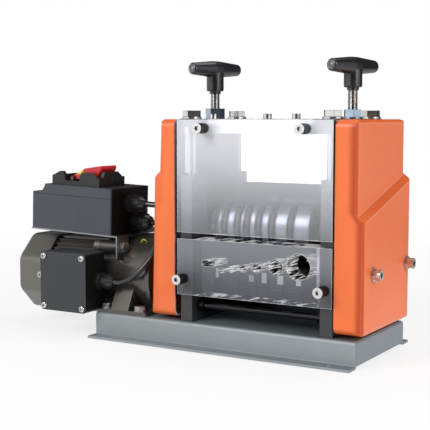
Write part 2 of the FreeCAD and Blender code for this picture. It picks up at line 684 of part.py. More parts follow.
def make_top_plate():
    x = (FRAME_OUTER_X[0] - TOP_PLATE_OVERHANG, FRAME_OUTER_X[1] + TOP_PLATE_OVERHANG)
    plate = block(x, (HEAD_FRONT_Y, HEAD_BACK_Y), (TOP_PLATE_BOTTOM_Z, TOP_PLATE_TOP_Z))
    tools = []
    for middle in FRAME_MIDDLE_X:
        tools.append(hole("Z", ADJUSTER_RADIUS + FREE_GAP, middle, 0, TOP_PLATE_BOTTOM_Z, TOP_PLATE_TOP_Z))
        for sign in SIDES:
            y = sign * COLUMN_BOLT_SPACING_Y / 2
            tools.append(hole("Z", M12_RADIUS, middle, y, TOP_PLATE_BOTTOM_Z, TOP_PLATE_TOP_Z))
    for screw_x in GUARD_SCREWS_X:
        tools.append(rod("Y", M6_RADIUS, screw_x, GUARD_SCREWS_Z,
                         HEAD_FRONT_Y - OVERRUN, HEAD_FRONT_Y + M6_HOLE_DEPTH))
    for screw_x in PLATE_SCREWS_X:
        tools.append(hole("Z", M6_RADIUS, screw_x, PLATE_SCREWS_Y, TOP_PLATE_BOTTOM_Z, TOP_PLATE_TOP_Z))
    return less(plate, tools)


def make_top_plate_bolts():
    """Hexagon bolts through the plate whose shanks stand in the side frames, each on a washer."""
    shapes = []
    washer_top = TOP_PLATE_TOP_Z + M12_WASHER_THICKNESS
    length = washer_top - SIDE_FRAME_TOP_Z + COLUMN_BOLT_DEPTH_IN_FRAME
    for x, turns in zip(FRAME_MIDDLE_X, BOLT_HEAD_TURNS):
        for sign, turn in zip(SIDES, turns):
            y = sign * COLUMN_BOLT_SPACING_Y / 2
            shapes.append(tube("Z", M12_WASHER_RADIUS, M12_RADIUS, x, y, TOP_PLATE_TOP_Z, washer_top))
            shapes.append(hex_bolt("Z", x, y, washer_top, 1, M12_RADIUS, M12_HEX_FLATS, M12_HEX_HEIGHT,
                                   length, turn))
    return shapes


def make_adjuster_nuts():
    """The nuts that the adjusting screws turn in, with a washer under the right one."""
    shapes = []
    bore_radius = ADJUSTER_RADIUS + RUNNING_CLEARANCE
    for index, x in enumerate(FRAME_MIDDLE_X):
        seat = TOP_PLATE_TOP_Z + NUT_WASHERS[index]
        top = TOP_PLATE_TOP_Z + NUT_HEIGHTS[index]
        nut = hexagon("Z", NUT_FLATS[index], x, 0, seat, top, NUT_TURNS[index])
        shapes.append(nut.cut(hole("Z", bore_radius, x, 0, seat, top)))
        if NUT_WASHERS[index]:
            shapes.append(tube("Z", M12_WASHER_RADIUS, bore_radius, x, 0, TOP_PLATE_TOP_Z, seat))
    return shapes


def make_adjusting_screw(index):
    x = FRAME_MIDDLE_X[index]
    bottom = UPPER_HEAD_TOP_Z - ADJUSTER_SEAT_DEPTH + FREE_GAP / 2
    top = TOP_PLATE_TOP_Z + HANDLE_BAR_HEIGHT - HANDLE_ROOF
    return rod("Z", ADJUSTER_RADIUS, x, 0, bottom, top)


def make_t_handle(index):
    """A tapered cross bar on a round boss, turned a little from the front-to-back line."""
    x = FRAME_MIDDLE_X[index]
    bar_z = TOP_PLATE_TOP_Z + HANDLE_BAR_HEIGHT
    half = HANDLE_BAR_LENGTH / 2
    bar = turned("Y", x, bar_z, [
        (-half, 0), (-half, HANDLE_END_RADIUS, 2.5), (-HANDLE_BOSS_RADIUS / 2, HANDLE_BAR_RADIUS, 20),
        (HANDLE_BOSS_RADIUS / 2, HANDLE_BAR_RADIUS, 20), (half, HANDLE_END_RADIUS, 2.5), (half, 0)])
    boss_bottom = TOP_PLATE_TOP_Z + HANDLE_BOSS_BOTTOM[index]
    boss_top = bar_z - HANDLE_BAR_RADIUS / 2
    boss = turned("Z", x, 0, [
        (boss_bottom, 0), (boss_bottom, HANDLE_BOSS_RADIUS, 2), (boss_top, HANDLE_BOSS_RADIUS),
        (bar_z, HANDLE_BAR_RADIUS / 2), (bar_z, 0)])
    neck = rod("Z", HANDLE_NECK_RADIUS, x, 0, boss_bottom - HANDLE_NECK_HEIGHT, boss_bottom + 1)
    shape = joined([bar, boss, neck])
    bore = rod("Z", ADJUSTER_RADIUS, x, 0, boss_bottom - HANDLE_NECK_HEIGHT - 1, bar_z - HANDLE_ROOF)
    return turned_about_z(shape.cut(bore), x, HANDLE_TURN_DEGREES)


def cover_depth(depths, z):
    """Depth of a cover's outer face at a height, straight between its bottom and its top value."""
    share = (z - COVER_BOTTOM_Z) / (COVER_TOP_Z - COVER_BOTTOM_Z)
    return depths[0] + (depths[1] - depths[0]) * share


def cover_body(depths, inset, start, lip_radius):
    """One rounded box of a cover, drawn outwards along X from its open side at X = 0."""
    half = COVER_HALF_DEPTH - inset
    bottom = COVER_BOTTOM_Z + inset
    top = COVER_TOP_Z - inset
    low = cover_depth(depths, bottom) - inset
    high = cover_depth(depths, top) - inset
    edge = COVER_EDGE_RADIUS - inset
    plans = []
    for depth, z in ((low, bottom), (high, top)):
        plan = [(start, -half), (depth, -half, edge), (depth, half, edge), (start, half)]
        plans.append(outline("Z", plan, z))
    body = Part.makeLoft(plans, True, True)
    side = prism("X", rounded((-half, half), (bottom, top), COVER_CORNER_RADIUS - inset), start, low + high)
    front = prism("Y", [(start, bottom), (low, bottom, edge), (high, top, edge), (start, top, lip_radius)],
                  -half, half)
    return body.common(side).common(front)


def cover_form(upper, lower, inset, start, lip_radius):
    """Upper and lower part of a cover, joined over a slanting step with a chamfered face."""
    span = 2 * COVER_HALF_DEPTH
    slope = (COVER_STEP_BACK_Z - COVER_STEP_FRONT_Z) / span
    step_z = COVER_STEP_FRONT_Z - COVER_STEP_DROP * inset
    middle_z = (COVER_STEP_FRONT_Z + COVER_STEP_BACK_Z) / 2
    shallow = cover_depth(upper, middle_z) - inset
    deep = cover_depth(lower, middle_z) - inset
    fall = COVER_STEP_CHAMFER / (deep - shallow)
    margin = COVER_EDGE_RADIUS
    above = COVER_TOP_Z + span
    edge_z = step_z - fall * (deep + margin - shallow)
    knife = [(shallow - margin, step_z + fall * margin), (deep + margin, edge_z), (deep + span, edge_z),
             (deep + span, above), (shallow - margin, above)]
    face = Part.Face(outline("Y", knife, -COVER_HALF_DEPTH - margin))
    face.translate(V(0, 0, -margin * slope))
    cutter = face.extrude(V(0, span + 2 * margin, (span + 2 * margin) * slope))
    bulge = cover_body(lower, inset, start, lip_radius).cut(cutter)
    return joined([cover_body(upper, inset, start, lip_radius), bulge])


def cover_open_x(side):
    return FRAME_OUTER_X[1] + RIGHT_COVER_GAP if side else FRAME_OUTER_X[0] - LEFT_COVER_GAP


def cover_depths(side):
    if side:
        return RIGHT_COVER_UPPER_DEPTHS, RIGHT_COVER_LOWER_DEPTHS, RIGHT_COVER_LIP_RADIUS
    return LEFT_COVER_UPPER_DEPTHS, LEFT_COVER_LOWER_DEPTHS, LEFT_COVER_LIP_RADIUS


def cover_outer_x(side, z):
    """X of a cover's outer face in its lower part."""
    depth = cover_depth(cover_depths(side)[1], z)
    return cover_open_x(side) + depth if side else cover_open_x(side) - depth


def make_cover(side):
    upper, lower, lip = cover_depths(side)
    outer = cover_form(upper, lower, 0, 0, lip)
    inner = cover_form(upper, lower, COVER_WALL, -1, 0)
    shell = outer.cut(inner)
    if not side:
        shell.rotate(V(0, 0, 0), Z_DIR, 180)
    shell.translate(V(cover_open_x(side), 0, 0))
    tools = []
    reach = 2 * COVER_WALL
    for y, z in COVER_BOLT_PLACES[side]:
        outer_x = cover_outer_x(side, z)
        tools.append(rod("X", M8_RADIUS + FREE_GAP, y, z, outer_x - reach, outer_x + reach))
    if not side:
        outer_x = cover_outer_x(side, FEED_AXIS_Z)
        tools.append(rod("X", DRIVE_HOLE_RADIUS, 0, FEED_AXIS_Z, outer_x - reach, outer_x + reach))
    return less(shell, tools)


def make_cover_bolts():
    shapes = []
    for side in (0, 1):
        sign = 1 if side else -1
        for y, z in COVER_BOLT_PLACES[side]:
            seat = cover_outer_x(side, z) + sign * COVER_SEAT_GAP
            top = seat + sign * M8_WASHER_THICKNESS
            shapes.append(tube("X", M8_WASHER_RADIUS, M8_RADIUS, y, z, min(seat, top), max(seat, top)))
            length = abs(top - FRAME_INNER_X[side]) - COVER_BOLT_SETBACK
            shapes.append(socket_screw("X", y, z, top, sign, M8_RADIUS, M8_HEAD_RADIUS, M8_HEAD_HEIGHT,
                                       length))
    return shapes


def make_cover_standoffs():
    shapes = []
    for side in (0, 1):
        sign = 1 if side else -1
        for y, z in COVER_BOLT_PLACES[side]:
            inner = cover_outer_x(side, z) - sign * (COVER_WALL + COVER_SEAT_GAP)
            ends = sorted((inner, FRAME_OUTER_X[side]))
            shapes.append(tube("X", STANDOFF_RADIUS, M8_RADIUS, y, z, ends[0], ends[1]))
    return shapes


def make_upper_guard():
    """A clear plate that hangs from the top plate's front edge."""
    x = (FRAME_OUTER_X[0] - TOP_PLATE_OVERHANG, FRAME_OUTER_X[1] + TOP_PLATE_OVERHANG)
    front = HEAD_FRONT_Y - GUARD_THICKNESS
    plate = block(x, (front, HEAD_FRONT_Y), (GUARD_BOTTOM_Z, TOP_PLATE_TOP_Z - 1))
    holes = []
    for screw_x in GUARD_SCREWS_X:
        holes.append(hole("Y", M6_RADIUS, screw_x, GUARD_SCREWS_Z, front, HEAD_FRONT_Y))
    return less(plate, holes)


def make_guide_block():
    """A clear block between the side frames whose thin ears lie on their front faces."""
    body = block((FRAME_INNER_X[0] + BLOCK_SIDE_GAP, FRAME_INNER_X[1] - BLOCK_SIDE_GAP),
                 (HEAD_FRONT_Y - GUARD_THICKNESS, HEAD_FRONT_Y - GUARD_THICKNESS + BLOCK_BODY_DEPTH),
                 (BLOCK_BOTTOM_Z, BLOCK_TOP_Z))
    ears = block((FRAME_OUTER_X[0] - TOP_PLATE_OVERHANG, FRAME_OUTER_X[1] + TOP_PLATE_OVERHANG),
                 (HEAD_FRONT_Y - GUARD_THICKNESS, HEAD_FRONT_Y), (BLOCK_BOTTOM_Z, BLOCK_TOP_Z))
    shape = joined([body, ears])
    front = HEAD_FRONT_Y - GUARD_THICKNESS - 1
    back = front + BLOCK_BODY_DEPTH + 2
    tools = [rod("Y", diameter / 2, x, z, front, back) for x, diameter, z in LANES]
    half_width = FLAT_LANE_WIDTH / 2
    half_height = FLAT_LANE_HEIGHT / 2
    slot = rounded((FLAT_LANE_X - half_width, FLAT_LANE_X + half_width),
                   (FLAT_LANE_Z - half_height, FLAT_LANE_Z + half_height), half_height - 0.05)
    tools.append(prism("Y", slot, front, back))
    for x in FRAME_MIDDLE_X:
        tools.append(rod("Y", M6_RADIUS, x, BLOCK_SCREW_Z, front, HEAD_FRONT_Y + 1))
    return less(shape, tools)


def knurled_screw(x, z, seat_y, length):
    """A long knurled socket head with its screw, whose head faces forwards."""
    points = []
    for ridge in range(KNURLED_RIDGES):
        for share, radius in ((0, KNURLED_HEAD_RADIUS), (0.5, KNURLED_HEAD_RADIUS - KNURLED_RIDGE_DEPTH)):
            angle = 2 * math.pi * (ridge + share) / KNURLED_RIDGES
            points.append((x + radius * math.cos(angle), z + radius * math.sin(angle)))
    head_front = seat_y - KNURLED_HEAD_LENGTH
    ring_back = head_front + M6_HEAD_HEIGHT / 3
    head = prism("Y", points, ring_back, seat_y)
    ring = rod("Y", KNURLED_HEAD_RADIUS, x, z, head_front, ring_back)
    shank = rod("Y", M6_RADIUS, x, z, seat_y, seat_y + length)
    socket_end = head_front + M6_HEAD_HEIGHT * SOCKET_DEPTH_SHARE
    socket = hexagon("Y", M6_HEAD_RADIUS, x, z, head_front - OVERRUN, socket_end)
    return joined([head, ring, shank]).cut(socket)


def make_knurled_screws():
    seat = HEAD_FRONT_Y - GUARD_THICKNESS
    length = GUARD_THICKNESS + M6_THREAD_LENGTH
    shapes = [knurled_screw(x, GUARD_SCREWS_Z, seat, length) for x in GUARD_SCREWS_X]
    shapes += [knurled_screw(x, BLOCK_SCREW_Z, seat, length) for x in FRAME_MIDDLE_X]
    return shapes


def make_tie_rod():
    return rod("X", TIE_ROD_RADIUS, TIE_ROD_Y, TIE_ROD_Z, FRAME_OUTER_X[0], FRAME_OUTER_X[1])


def make_tie_rod_nuts():
    shapes = []
    for start, end in ((FRAME_INNER_X[0], FRAME_INNER_X[0] + TIE_ROD_NUT_LENGTH),
                       (FRAME_INNER_X[1] - TIE_ROD_NUT_LENGTH, FRAME_INNER_X[1])):
        nut = hexagon("X", TIE_ROD_NUT_FLATS, TIE_ROD_Y, TIE_ROD_Z, start, end)
        shapes.append(nut.cut(hole("X", TIE_ROD_RADIUS, TIE_ROD_Y, TIE_ROD_Z, start, end)))
    return shapes


def make_rear_plate():
    """The closing plate between the side frames, with a window for the stripped wire."""
    back = REAR_PLATE_FRONT_Y + REAR_PLATE_THICKNESS
    plate = block(FRAME_INNER_X, (REAR_PLATE_FRONT_Y, back), (REAR_PLATE_BOTTOM_Z, REAR_PLATE_TOP_Z))
    window_x = (FRAME_INNER_X[0] + OUTLET_SIDE_MARGIN, FRAME_INNER_X[1] - OUTLET_SIDE_MARGIN)
    window = prism("Y", rounded(window_x, (OUTLET_BOTTOM_Z, OUTLET_TOP_Z), OUTLET_CORNER_RADIUS),
                   REAR_PLATE_FRONT_Y - OVERRUN, back + OVERRUN)
    step = block((FRAME_INNER_X[0] - OVERRUN, FRAME_INNER_X[1] + OVERRUN),
                 (REAR_PLATE_FRONT_Y - OVERRUN, rear_plate_middle_y()),
                 (REAR_PLATE_TOP_Z - REAR_PLATE_STEP, REAR_PLATE_TOP_Z + OVERRUN))
    tools = [window, step]
    for z in rear_plate_screws_z():
        for x, sign in ((FRAME_INNER_X[0], 1), (FRAME_INNER_X[1], -1)):
            ends = sorted((x - sign * OVERRUN, x + sign * M6_HOLE_DEPTH))
            tools.append(rod("X", M6_RADIUS, rear_plate_middle_y(), z, ends[0], ends[1]))
    return less(plate, tools)


def make_cap_screws():
    """Socket head screws of the closing plate and those that stand on the top plate."""
    shapes = []
    length = SIDE_FRAME_THICKNESS + M6_THREAD_LENGTH
    for z in rear_plate_screws_z():
        for side, sign in ((0, -1), (1, 1)):
            shapes.append(socket_screw("X", rear_plate_middle_y(), z, FRAME_OUTER_X[side], sign,
                                       M6_RADIUS, M6_HEAD_RADIUS, M6_HEAD_HEIGHT, length))
    for x in PLATE_SCREWS_X:
        shapes.append(socket_screw("Z", x, PLATE_SCREWS_Y, TOP_PLATE_TOP_Z, 1,
                                   M6_RADIUS, M6_HEAD_RADIUS, M6_HEAD_HEIGHT, TOP_PLATE_THICKNESS))
    return shapes


def bearing_block(side, axis_z, bottom, top, head):
    """A block that fits the side frame's slot, with a tongue on each side and a bearing seat."""
    x = sorted((FRAME_INNER_X[side], FRAME_OUTER_X[side]))
    half = SLOT_WIDTH / 2 - SLIDE_CLEARANCE
    tongue = TONGUE_THICKNESS / 2 - SLIDE_CLEARANCE
    middle = FRAME_MIDDLE_X[side]
    slide_top = min(top, SIDE_FRAME_TOP_Z - HIDDEN_GAP) if head else top
    body = block(x, (-half, half), (bottom, top))
    tongues = block((middle - tongue, middle + tongue), (-half - TONGUE_DEPTH, half + TONGUE_DEPTH),
                    (bottom, slide_top))
    parts = [body, tongues]
    if head:
        wide = UPPER_BLOCK_HEAD_WIDTH / 2
        parts.append(block(x, (-wide, wide), (UPPER_HEAD_BOTTOM_Z, UPPER_HEAD_TOP_Z)))
    shape = joined(parts)
    seat = (SIDE_FRAME_THICKNESS - BEARING_WIDTH) / 2
    tools = [rod("X", BEARING_OUTER_RADIUS, 0, axis_z, x[0] + seat, x[1] + 1),
             hole("X", BEARING_OUTER_RADIUS - BEARING_RACE_THICKNESS, 0, axis_z, x[0], x[1])]
    return less(shape, tools)


def make_lower_bearing_blocks():
    shapes = []
    for side in (0, 1):
        block_shape = bearing_block(side, FEED_AXIS_Z, SLOT_BOTTOM_Z, LOWER_BLOCK_TOP_Z, False)
        pockets = []
        for sign in SIDES:
            y = sign * LIFT_SPRING_SPACING_Y / 2
            pockets.append(rod("Z", LIFT_SPRING_RADIUS + FREE_GAP, FRAME_MIDDLE_X[side], y,
                               LOWER_BLOCK_TOP_Z - LIFT_SPRING_POCKET_DEPTH, LOWER_BLOCK_TOP_Z + OVERRUN))
        shapes.append(less(block_shape, pockets))
    return shapes


def make_upper_bearing_blocks():
    shapes = []
    for side in (0, 1):
        block_shape = bearing_block(side, BLADE_AXIS_Z, UPPER_BLOCK_BOTTOM_Z, UPPER_HEAD_TOP_Z, True)
        seat = rod("Z", ADJUSTER_RADIUS + FREE_GAP, FRAME_MIDDLE_X[side], 0,
                   UPPER_HEAD_TOP_Z - ADJUSTER_SEAT_DEPTH, UPPER_HEAD_TOP_Z + 1)
        shapes.append(block_shape.cut(seat))
    return shapes


def make_arbor_bearings(axis_z):
    shapes = []
    for side in (0, 1):
        low = min(FRAME_INNER_X[side], FRAME_OUTER_X[side]) + (SIDE_FRAME_THICKNESS - BEARING_WIDTH) / 2
        shapes.append(bearing("X", 0, axis_z, low, low + BEARING_WIDTH,
                              ARBOR_RADIUS + RUNNING_CLEARANCE, BEARING_OUTER_RADIUS))
    return shapes


def make_lift_springs():
    shapes = []
    for x in FRAME_MIDDLE_X:
        for sign in SIDES:
            shapes.append(tube("Z", LIFT_SPRING_RADIUS, LIFT_SPRING_RADIUS - LIFT_SPRING_WIRE,
                               x, sign * LIFT_SPRING_SPACING_Y / 2,
                               LOWER_BLOCK_TOP_Z - LIFT_SPRING_POCKET_DEPTH, UPPER_BLOCK_BOTTOM_Z))
    return shapes


def gear_x():
    start = FRAME_OUTER_X[1] + GEAR_OFFSET_FROM_FRAME
    return start, start + ARBOR_GEAR_WIDTH


def make_arbor(axis_z, left_end):
    """A stepped shaft from its left end through both side frames to its gear."""
    start, end = gear_x()
    shoulder = FRAME_OUTER_X[0] - HIDDEN_GAP
    tip = end + HIDDEN_GAP
    profile = [(shoulder, 0), (shoulder, ARBOR_RADIUS), (start, ARBOR_RADIUS), (start, ARBOR_END_RADIUS),
               (tip, ARBOR_END_RADIUS), (tip, 0)]
    if left_end < shoulder:
        profile = [(left_end, 0), (left_end, ARBOR_END_RADIUS), (shoulder, ARBOR_END_RADIUS)] + profile[1:]
    return turned("X", 0, axis_z, profile)


def make_blades():
    """One disc for each lane, ground to a sharp edge from both sides."""
    shapes = []
    half = BLADE_THICKNESS / 2
    for x in LANE_CENTRES:
        disc = turned("X", 0, BLADE_AXIS_Z, [
            (x - half, ARBOR_RADIUS), (x - half, BLADE_FLANK_RADIUS), (x, BLADE_RADIUS),
            (x + half, BLADE_FLANK_RADIUS), (x + half, ARBOR_RADIUS)])
        shapes.append(disc)
    return shapes


def make_blade_spacers():
    """Rings between the blades and beside the outer two, which fill the arbor."""
    half = BLADE_THICKNESS / 2
    starts = [FRAME_INNER_X[0] + FEED_ROLLER_END_GAP] + [x + half for x in LANE_CENTRES]
    ends = [x - half for x in LANE_CENTRES] + [FRAME_INNER_X[1] - FEED_ROLLER_END_GAP]
    shapes = []
    for index, (start, end) in enumerate(zip(starts, ends)):
        radius = SPACER_RADIUS if 0 < index < len(starts) - 1 else END_SPACER_RADIUS
        if index == 0:
            wide = end - FIRST_SPACER_WIDTH
            shapes.append(tube("X", SPACER_RADIUS, ARBOR_RADIUS, 0, BLADE_AXIS_Z, wide, end))
            end = wide
        shapes.append(tube("X", radius, ARBOR_RADIUS, 0, BLADE_AXIS_Z, start, end))
    return shapes


def make_feed_roller():
    """A long roller with a knurled band under each lane."""
    start = FRAME_INNER_X[0] + FEED_ROLLER_END_GAP
    end = FRAME_INNER_X[1] - FEED_ROLLER_END_GAP
    shapes = [rod("X", FEED_CORE_RADIUS, 0, FEED_AXIS_Z, start, end)]
    for x, width in zip(LANE_CENTRES, LANE_WIDTHS):
        half = width / 2 + FEED_BAND_MARGIN
        points = []
        for tooth in range(FEED_BAND_TEETH):
            for share, radius in ((0, FEED_BAND_RADIUS), (0.5, FEED_BAND_RADIUS - FEED_BAND_TOOTH_DEPTH)):
                angle = 2 * math.pi * (tooth + share) / FEED_BAND_TEETH
                points.append((radius * math.cos(angle), FEED_AXIS_Z + radius * math.sin(angle)))
        shapes.append(prism("X", points, max(x - half, start), min(x + half, end)))
    bore = hole("X", ARBOR_RADIUS, 0, FEED_AXIS_Z, start, end)
    return joined(shapes).cut(bore)


def make_arbor_gear(axis_z, teeth, tooth_angle):
    start, end = gear_x()
    wheel = gear(ARBOR_GEAR_MODULE, teeth, ARBOR_GEAR_BACKLASH, (0, axis_z), start, end, tooth_angle)
    return wheel.cut(hole("X", ARBOR_END_RADIUS, 0, axis_z, start, end))


def octagon(across_flats, radius):
    """The rounded octagon of the motor's cap and body about the motor's axis."""
    corner = across_flats / 2 / math.cos(math.pi / 8)
    points = []
    for side in range(8):
        angle = math.pi / 8 + side * math.pi / 4
        points.append((corner * math.cos(angle), MOTOR_AXIS_Z + corner * math.sin(angle), radius))
    return points


def corner_lug(sign, rise, start, end):
    """A round lug for a tie bolt, joined to the housing by a web."""
    centre = V(0, sign * TIE_BOSS_Y, FEED_AXIS_Z + rise)
    axis = V(0, 0, FEED_AXIS_Z)
    out = (centre - axis).normalize()
    side = out.cross(X_DIR) * (TIE_BOSS_RADIUS * 0.8)
    foot = axis + out * (GEARBOX_LEFT_RADIUS - 3)
    corners = [foot + side, centre + side, centre - side, foot - side]
    web = prism("X", [(p.y, p.z) for p in corners], start, end)
    return joined([web, rod("X", TIE_BOSS_RADIUS, centre.y, centre.z, start, end)])


def lugs(start, end):
    return [corner_lug(sign, rise, start, end) for sign in SIDES for rise in TIE_BOSS_RISES]


def tie_bolt_holes(start, end):
    return [rod("X", M8_RADIUS, sign * TIE_BOSS_Y, FEED_AXIS_Z + rise, start, end)
            for sign in SIDES for rise in TIE_BOSS_RISES]


def motor_body_x():
    return MOTOR_CAP_RIGHT_X + HIDDEN_GAP, GEARBOX_LEFT_X


def make_motor_housing():
    """A finned octagonal shell with a flange towards the gearbox and an end shield."""
    start, end = motor_body_x()
    shell = prism("X", octagon(MOTOR_BODY_ACROSS_FLATS, MOTOR_BODY_CORNER_RADIUS), start, end)
    flange_start = end - MOTOR_FLANGE_THICKNESS
    flange = rod("X", GEARBOX_LEFT_RADIUS, 0, FEED_AXIS_Z, flange_start, end)
    parts = [shell, flange] + lugs(flange_start, end)
    reach = MOTOR_BODY_ACROSS_FLATS / 2
    facet = MOTOR_BODY_ACROSS_FLATS * math.tan(math.pi / 8)
    pitch = facet * MOTOR_FIN_SPREAD / (MOTOR_FINS_PER_SIDE - 1)
    fins_x = (start + MOTOR_FIN_START, flange_start - MOTOR_FIN_ROOT)
    for side in range(8):
        faces_terminal_box = side == 4
        if faces_terminal_box:
            continue
        for index in range(MOTOR_FINS_PER_SIDE):
            middle = MOTOR_AXIS_Z + (index - (MOTOR_FINS_PER_SIDE - 1) / 2) * pitch
            fin = block(fins_x, (reach - MOTOR_FIN_ROOT, reach + MOTOR_FIN_HEIGHT),
                        (middle - MOTOR_FIN_THICKNESS / 2, middle + MOTOR_FIN_THICKNESS / 2))
            fin.rotate(V(0, 0, MOTOR_AXIS_Z), X_DIR, 45 * side)
            parts.append(fin)
    inset_x, inset_z = TERMINAL_PAD_INSETS
    pad = block((TERMINAL_BOX_X[0] + inset_x, fins_x[1]), (TERMINAL_BOX_BACK_Y, MOTOR_FIN_START - reach),
                (TERMINAL_BOX_Z[0] + inset_z, TERMINAL_BOX_Z[1] - inset_z))
    shape = joined(parts + [pad] + end_cap_posts())
    outer, width = MOTOR_BEARING[1:]
    tools = [rod("X", MOTOR_BORE_RADIUS, 0, MOTOR_AXIS_Z, start + MOTOR_END_SHIELD + width, end + 1),
             rod("X", outer, 0, MOTOR_AXIS_Z, start + MOTOR_END_SHIELD, start + MOTOR_END_SHIELD + width + 1),
             hole("X", outer - BEARING_SHOULDER, 0, MOTOR_AXIS_Z, start, start + MOTOR_END_SHIELD)]
    tools += tie_bolt_holes(flange_start - 1, end + 1)
    return less(shape, tools)


def make_motor_end_cap():
    """The fan's cover: a rounded octagonal cup over the end of the body, with slots in its end."""
    form = octagon(MOTOR_ACROSS_FLATS, MOTOR_CAP_CORNER_RADIUS)
    cup = prism("X", form, MOTOR_CAP_LEFT_X, MOTOR_CAP_RIGHT_X)
    rim = [edge for edge in cup.Edges
           if all(abs(vertex.X - MOTOR_CAP_LEFT_X) < 0.01 for vertex in edge.Vertexes)]
    cup = cup.makeFillet(2 * MOTOR_CAP_WALL, rim)
    hollow_flats = MOTOR_ACROSS_FLATS - 2 * MOTOR_CAP_WALL
    hollow = prism("X", octagon(hollow_flats, MOTOR_CAP_CORNER_RADIUS - MOTOR_CAP_WALL),
                   MOTOR_CAP_LEFT_X + MOTOR_CAP_WALL, MOTOR_CAP_RIGHT_X + 1)
    tools = [hollow]
    half_slot = MOTOR_CAP_SLOT_WIDTH / 2
    for index in range(MOTOR_CAP_SLOTS):
        form = rounded(MOTOR_CAP_SLOT_SPAN, (-half_slot, half_slot), half_slot - 0.1)
        slot = prism("X", form, MOTOR_CAP_LEFT_X - OVERRUN, MOTOR_CAP_LEFT_X + 2 * MOTOR_CAP_WALL)
        slot.rotate(V(0, 0, 0), X_DIR, 360 * index / MOTOR_CAP_SLOTS)
        slot.translate(V(0, 0, MOTOR_AXIS_Z))
        tools.append(slot)
    for sign in SIDES:
        ends = sorted((sign * MOTOR_ACROSS_FLATS, sign * MOTOR_ACROSS_FLATS / 4))
        tools.append(rod("Y", M4_RADIUS, END_CAP_SCREW_X, MOTOR_AXIS_Z, ends[0], ends[1]))
    return less(cup, tools)


def make_end_cap_screws():
    """Two screws through the cap into small posts on the end shield."""
    shapes = []
    reach = MOTOR_ACROSS_FLATS / 2
    for sign in SIDES:
        shapes.append(socket_screw("Y", END_CAP_SCREW_X, MOTOR_AXIS_Z, sign * reach, sign,
                                   M4_RADIUS, M4_HEAD_RADIUS, M4_HEAD_HEIGHT, END_CAP_POST_LENGTH))
    return shapes


def end_cap_posts():
    """Posts that carry the cap's screws and stand on the motor's end shield."""
    shapes = []
    start = motor_body_x()[0]
    reach = MOTOR_ACROSS_FLATS / 2 - MOTOR_CAP_WALL
    for sign in SIDES:
        y = sorted((sign * reach, sign * (reach - END_CAP_POST_LENGTH)))
        post = block((END_CAP_SCREW_X - END_CAP_POST_HALF, start + 3), y,
                     (MOTOR_AXIS_Z - END_CAP_POST_HALF, MOTOR_AXIS_Z + END_CAP_POST_HALF))
        ends = sorted((sign * MOTOR_ACROSS_FLATS, sign * (reach - END_CAP_POST_LENGTH - 1)))
        shapes.append(post.cut(rod("Y", M4_RADIUS, END_CAP_SCREW_X, MOTOR_AXIS_Z, ends[0], ends[1])))
    return shapes


def stator_x():
    start, end = motor_body_x()
    middle = (start + end + MOTOR_END_SHIELD) / 2
    return middle - STATOR_LENGTH / 2, middle + STATOR_LENGTH / 2


def make_motor_stator():
    start, end = stator_x()
    return tube("X", MOTOR_BORE_RADIUS, ROTOR_RADIUS + AIR_GAP, 0, MOTOR_AXIS_Z, start, end)


def counter_axis():
    """Y and Z of the countershaft, at both stages' centre distances from the other two axes."""
    first = FIRST_STAGE_MODULE * sum(FIRST_STAGE_TEETH) / 2
    second = SECOND_STAGE_MODULE * sum(SECOND_STAGE_TEETH) / 2
    gap = FEED_AXIS_Z - MOTOR_AXIS_Z
    rise = (first ** 2 - second ** 2 + gap ** 2) / (2 * gap)
    return math.sqrt(first ** 2 - rise ** 2), MOTOR_AXIS_Z + rise


def first_stage_x():
    start = GEARBOX_LEFT_X + FIRST_STAGE_START
    return start, start + SMALL_GEAR_WIDTH


def second_stage_x():
    start = first_stage_x()[1] + STAGE_GAP
    return start, start + SMALL_GEAR_WIDTH


def bell_radius(x):
    share = (x - GEARBOX_LEFT_X) / (GEARBOX_FLANGE_X - GEARBOX_LEFT_X)
    return GEARBOX_LEFT_RADIUS + (GEARBOX_BELL_RADIUS - GEARBOX_LEFT_RADIUS) * share


